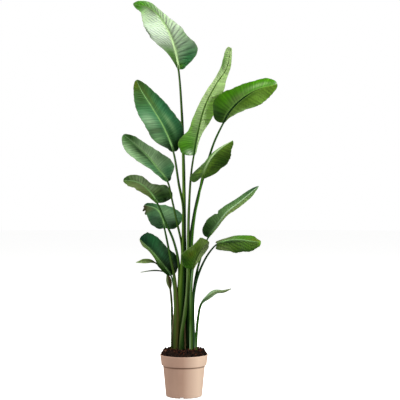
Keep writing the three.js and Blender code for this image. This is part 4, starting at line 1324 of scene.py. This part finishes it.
def makeCutters():
    # tool shapes for the drain holes and the foot notches, removed again after the cut
    look = potLook
    tools = []
    for i in range(look["drainHoles"]):
        at = circlePoint(look["drainCircle"], 2 * math.pi * (i + 0.5) / look["drainHoles"])
        bpy.ops.mesh.primitive_cylinder_add(vertices=look["drainSides"], radius=look["drainRadius"],
                                            depth=4 * look["floorTop"], location=at)
        tools.append(bpy.context.object)
    for i in range(look["notches"]):
        angle = 2 * math.pi * i / look["notches"] - math.pi / 2 + look["notchTurn"]
        at = circlePoint(look["footRadius"], angle)
        bpy.ops.mesh.primitive_cube_add(size=1, location=at, rotation=(0, 0, angle))
        bpy.context.object.scale = (3 * look["footWidth"], look["notchWidth"], 2 * look["notchHeight"])
        tools.append(bpy.context.object)
    return tools


def makePot():
    mesh = turnedMesh("potShell", potOutline(), potLook["sides"])
    shell = addObject("potShell", mesh)
    tools = makeCutters()
    group = bpy.data.collections.new("potCutters")
    for tool in tools:
        for owner in tool.users_collection:
            owner.objects.unlink(tool)
        group.objects.link(tool)
    bpy.context.scene.collection.children.link(group)
    cut = shell.modifiers.new("cut", "BOOLEAN")
    cut.operand_type = "COLLECTION"
    cut.collection = group
    cut.operation = "DIFFERENCE"
    cut.solver = "EXACT"
    bpy.context.view_layer.update()
    graph = bpy.context.evaluated_depsgraph_get()
    finished = bpy.data.meshes.new_from_object(shell.evaluated_get(graph))
    shell.modifiers.clear()
    shell.data = finished
    for tool in tools:
        bpy.data.objects.remove(tool)
    bpy.data.collections.remove(group)
    bpy.data.meshes.remove(mesh)
    finished.name = "potShell"
    finished.materials.clear()
    finished.materials.append(finishes["pot"]["all"])
    for polygon in finished.polygons:
        polygon.use_smooth = True
    finished.set_sharp_from_angle(angle=math.radians(potLook["sharpFrom"]))
    return placePiece(shell, "pot")


# soil: a low crumbly mound with loose crumbs and bark on it
soilLook = {
    "level": 0.21,
    "crown": 0.023,
    "crownEdge": 0.16,
    "lumpHeight": 0.005,
    "lumpEdge": 0.07,
    "lumpLengths": (0.033, 0.027),
    "ridgeLengths": (0.09, -0.015),
    "ridgeShare": 0.6,
    "fineHeight": 0.0016,
    # length along each axis, and the length and strength by which the other axis bends it
    "fineX": (0.0087, 0.021, 3),
    "fineY": (0.0073, 0.017, 2),
    "rings": 64,
    "sides": 176,
    "longest": 0.02,
    "wallGap": 0.0003,
}
crumbLook = {
    "seed": 7,
    "count": 1300,
    "reach": 0.985,
    "size": (0.0026, 0.0095),
    "sizeShare": (0.6, 1),
    "flatness": (0.7, 1.3),
    "rise": 0.2,
    "roughness": 0.22,
    "roughest": 1.6,
    "shade": (0.8, 1.25),
    "colours": (0x0A0502, 0x1E0E06, 0x36190C, 0x522A18, 0x050201),
    "chips": 90,
    "chipReach": 0.9,
    "chipLength": (0.008, 0.021),
    "chipBreadth": (0.25, 0.45),
    "chipDepth": (0.12, 0.2),
    "chipRise": 0.002,
    "chipColours": (0x3E2418, 0x4C3022, 0x2C1810, 0x5E4232),
    # x, y, height and size of single crumbs that show in front of and behind the stalks
    "single": (
        (-0.004, -0.1155, 0.2135, 0.004), (-0.012, -0.117, 0.213, 0.003), (0.003, -0.1165, 0.2135, 0.0028),
        (-0.068, 0.035, 0.241, 0.012), (-0.058, 0.03, 0.24, 0.01), (0.07, 0.03, 0.238, 0.012),
        (0.084, 0.02, 0.235, 0.01), (-0.112, 0.0, 0.219, 0.008), (-0.103, 0.01, 0.227, 0.009),
        (0.111, 0.0, 0.218, 0.008), (0.103, 0.01, 0.226, 0.01),
    ),
    "singleShape": (1.2, 1, 0.8),
    "singleColour": 0x36190C,
}


def soilEdge():
    low = innerWall()[-1]
    high = innerRim()
    up = (soilLook["level"] - low[1]) / (high[1] - low[1])
    return low[0] + (high[0] - low[0]) * up - soilLook["wallGap"]


def bentWaves(along, other, lengths):
    length, otherLength, bend = lengths
    return swing(along / length, bend * swing(other / otherLength))


def soilHeight(x, y):
    look = soilLook
    inward = 1 - np.hypot(x, y) / soilEdge()
    lumps = swing(x / look["lumpLengths"][0], 1) * np.cos(2 * np.pi * y / look["lumpLengths"][1])
    ridges = swing(x / look["ridgeLengths"][0] + y / look["ridgeLengths"][1])
    rough = look["lumpHeight"] * (lumps + look["ridgeShare"] * ridges)
    fine = look["fineHeight"] * bentWaves(x, y, look["fineX"]) * bentWaves(y, x, look["fineY"])
    height = look["level"] + look["crown"] * smoothStep(0, look["crownEdge"], inward)
    return height + (rough + fine) * smoothStep(0, look["lumpEdge"], inward)


def makeSoil():
    level, gap = soilLook["level"], soilLook["wallGap"]
    edge = soilEdge()
    below = [(0, potLook["floorTop"] + gap)]
    below += [(r - gap, z + gap) for r, z in innerWall()]
    below.append((edge, level))
    rings = soilLook["rings"]
    top = [(edge * (1 - k / rings), level) for k in range(1, rings + 1)]
    mesh = turnedMesh("soilMound", splitLong(below, soilLook["longest"]) + top, soilLook["sides"])
    points = np.empty(len(mesh.vertices) * 3)
    mesh.vertices.foreach_get("co", points)
    points = points.reshape(-1, 3)
    onTop = points[:, 2] > level - gap
    points[onTop, 2] = soilHeight(points[onTop, 0], points[onTop, 1])
    mesh.vertices.foreach_set("co", points.ravel())
    mesh.polygons.foreach_set("use_smooth", np.ones(len(mesh.polygons), dtype=bool))
    mesh.materials.append(finishes["soil"]["all"])
    mesh.update()
    return placePiece(addObject("soilMound", mesh), "soil")


def lumpShape():
    # a rough ball of 42 points
    ball = bmesh.new()
    bmesh.ops.create_icosphere(ball, subdivisions=2, radius=1)
    points = np.array([v.co[:] for v in ball.verts])
    faces = np.array([[v.index for v in f.verts] for f in ball.faces])
    ball.free()
    return points, faces


def makeCrumbs():
    look = crumbLook
    draw = np.random.default_rng(look["seed"])
    shape, shapeFaces = lumpShape()
    points = []
    faces = []
    tints = []

    def anyPlace(reach):
        r = soilEdge() * reach * math.sqrt(draw.random())
        a = 2 * math.pi * draw.random()
        return r * math.cos(a), r * math.sin(a)

    def addLump(at, sizes, colour):
        roughest = look["roughest"]
        rough = 1 + look["roughness"] * draw.normal(size=len(shape)).clip(-roughest, roughest)
        turn = np.linalg.qr(draw.normal(size=(3, 3)))[0]
        faces.append(shapeFaces + len(points) * len(shape))
        points.append((shape * rough[:, None] * sizes) @ turn.T + at)
        tints.append(np.tile(linear(colour), (len(shape), 1)) * draw.uniform(*look["shade"]))

    for k in range(look["count"]):
        x, y = anyPlace(look["reach"])
        size = draw.uniform(*look["size"]) * draw.uniform(*look["sizeShare"])
        sizes = size / 2 * draw.uniform(*look["flatness"], 3)
        z = float(soilHeight(x, y)) + look["rise"] * size
        addLump((x, y, z), sizes, draw.choice(look["colours"]))
    for k in range(look["chips"]):
        x, y = anyPlace(look["chipReach"])
        long = draw.uniform(*look["chipLength"]) / 2
        breadth = draw.uniform(*look["chipBreadth"])
        sizes = long * np.array([1, breadth, draw.uniform(*look["chipDepth"])])
        z = float(soilHeight(x, y)) + look["chipRise"]
        addLump((x, y, z), sizes, draw.choice(look["chipColours"]))
    for x, y, z, size in look["single"]:
        addLump((x, y, z), size / 2 * np.array(look["singleShape"]), look["singleColour"])
    finish = finishes["crumbs"]
    return addPiece("soilCrumbs", np.vstack(points), np.vstack(faces), "soil",
                    [finish["all"]], tint=np.vstack(tints))


# studio: a pale floor, and soft lights from the right, the left, above and behind
studio = {
    "floorRadius": 30,
    "floorSides": 96,
    "floorColour": (0.9, 0.9, 0.89),
    "floorClouds": 1.5,
    "floorShade": (0.99, 1),
    "floorRoughness": 0.8,
    "floorGlow": 0.72,
    "skyLight": 0.28,
    "lights": [
        {"name": "keyLight", "place": (3.8, -3.6, 2.6), "aim": (0, 0, 0.9), "size": 2.2, "power": 230},
        {"name": "fillLight", "place": (-4.4, -2.4, 1.6), "aim": (0, 0, 1.0), "size": 2.6, "power": 110},
        {"name": "topLight", "place": (-0.6, -0.4, 6.4), "aim": (0, 0, 1.2), "size": 3.4, "power": 280},
        {"name": "backLight", "place": (0.6, 4.2, 2.6), "aim": (0, 0, 1.2), "size": 3.0, "power": 260},
    ],
}
white = (1, 1, 1, 1)


def makeFloor():
    sides = studio["floorSides"]
    mesh = bpy.data.meshes.new("floor")
    ring = [circlePoint(studio["floorRadius"], angle) for angle in anglesAround(sides)]
    mesh.from_pydata(ring, [], [list(range(sides))])
    material, tree = newMaterial("floor")
    clouds = noise(tree, objectPlace(tree), studio["floorClouds"])
    inputs = {
        "Base Color": dull(tree, studio["floorColour"], clouds, *studio["floorShade"]),
        "Roughness": studio["floorRoughness"],
        "Emission Color": white,
        "Emission Strength": studio["floorGlow"],
    }
    output(tree, addNode(tree, "ShaderNodeBsdfPrincipled", inputs).outputs[0])
    mesh.materials.append(material)
    floor = addObject("floor", mesh)
    # the floor is bright to the eye, but it doesn't light the plant from below
    floor.visible_diffuse = False
    floor.visible_glossy = False
    floor.visible_transmission = False


def makeLights():
    for light in studio["lights"]:
        data = bpy.data.lights.new(light["name"], "AREA")
        data.shape = "DISK"
        data.size = light["size"]
        data.energy = light["power"]
        lamp = addObject(light["name"], data)
        lamp.location = light["place"]
        # light from behind shines through the leaves without a glare on them
        lamp.visible_glossy = light["name"] != "backLight"
        toward = Vector(light["aim"]) - Vector(light["place"])
        lamp.rotation_euler = toward.to_track_quat("-Z", "Y").to_euler()


def makeSky():
    # white behind the plant, but a dimmer sky on it
    world = bpy.data.worlds.new("studio")
    bpy.context.scene.world = world
    world.use_nodes = True
    tree = world.node_tree
    tree.nodes.clear()
    seen, sky = (
        addNode(tree, "ShaderNodeBackground", {"Color": white, "Strength": strength}).outputs[0]
        for strength in (1, studio["skyLight"])
    )
    ray = addNode(tree, "ShaderNodeLightPath").outputs["Is Camera Ray"]
    mixed = addNode(tree, "ShaderNodeMixShader", {0: ray, 1: sky, 2: seen}).outputs[0]
    addNode(tree, "ShaderNodeOutputWorld", {"Surface": mixed})


makePot()
makeSoil()
makeCrumbs()
print("pot and soil made")
for index, (leafName, leaf) in enumerate(leaves.items()):
    if leaf["stalk"]:
        makeStalk(leafName, leaf, index)
    makeBlade(leafName, leaf, index)
    print("leaf", leafName, "made")
for index, sheath in enumerate(drySheaths):
    makeDrySheath(sheath, index)
print("dry sheaths made")
makeCamera()
makeFloor()
makeLights()
makeSky()
print("studio made")
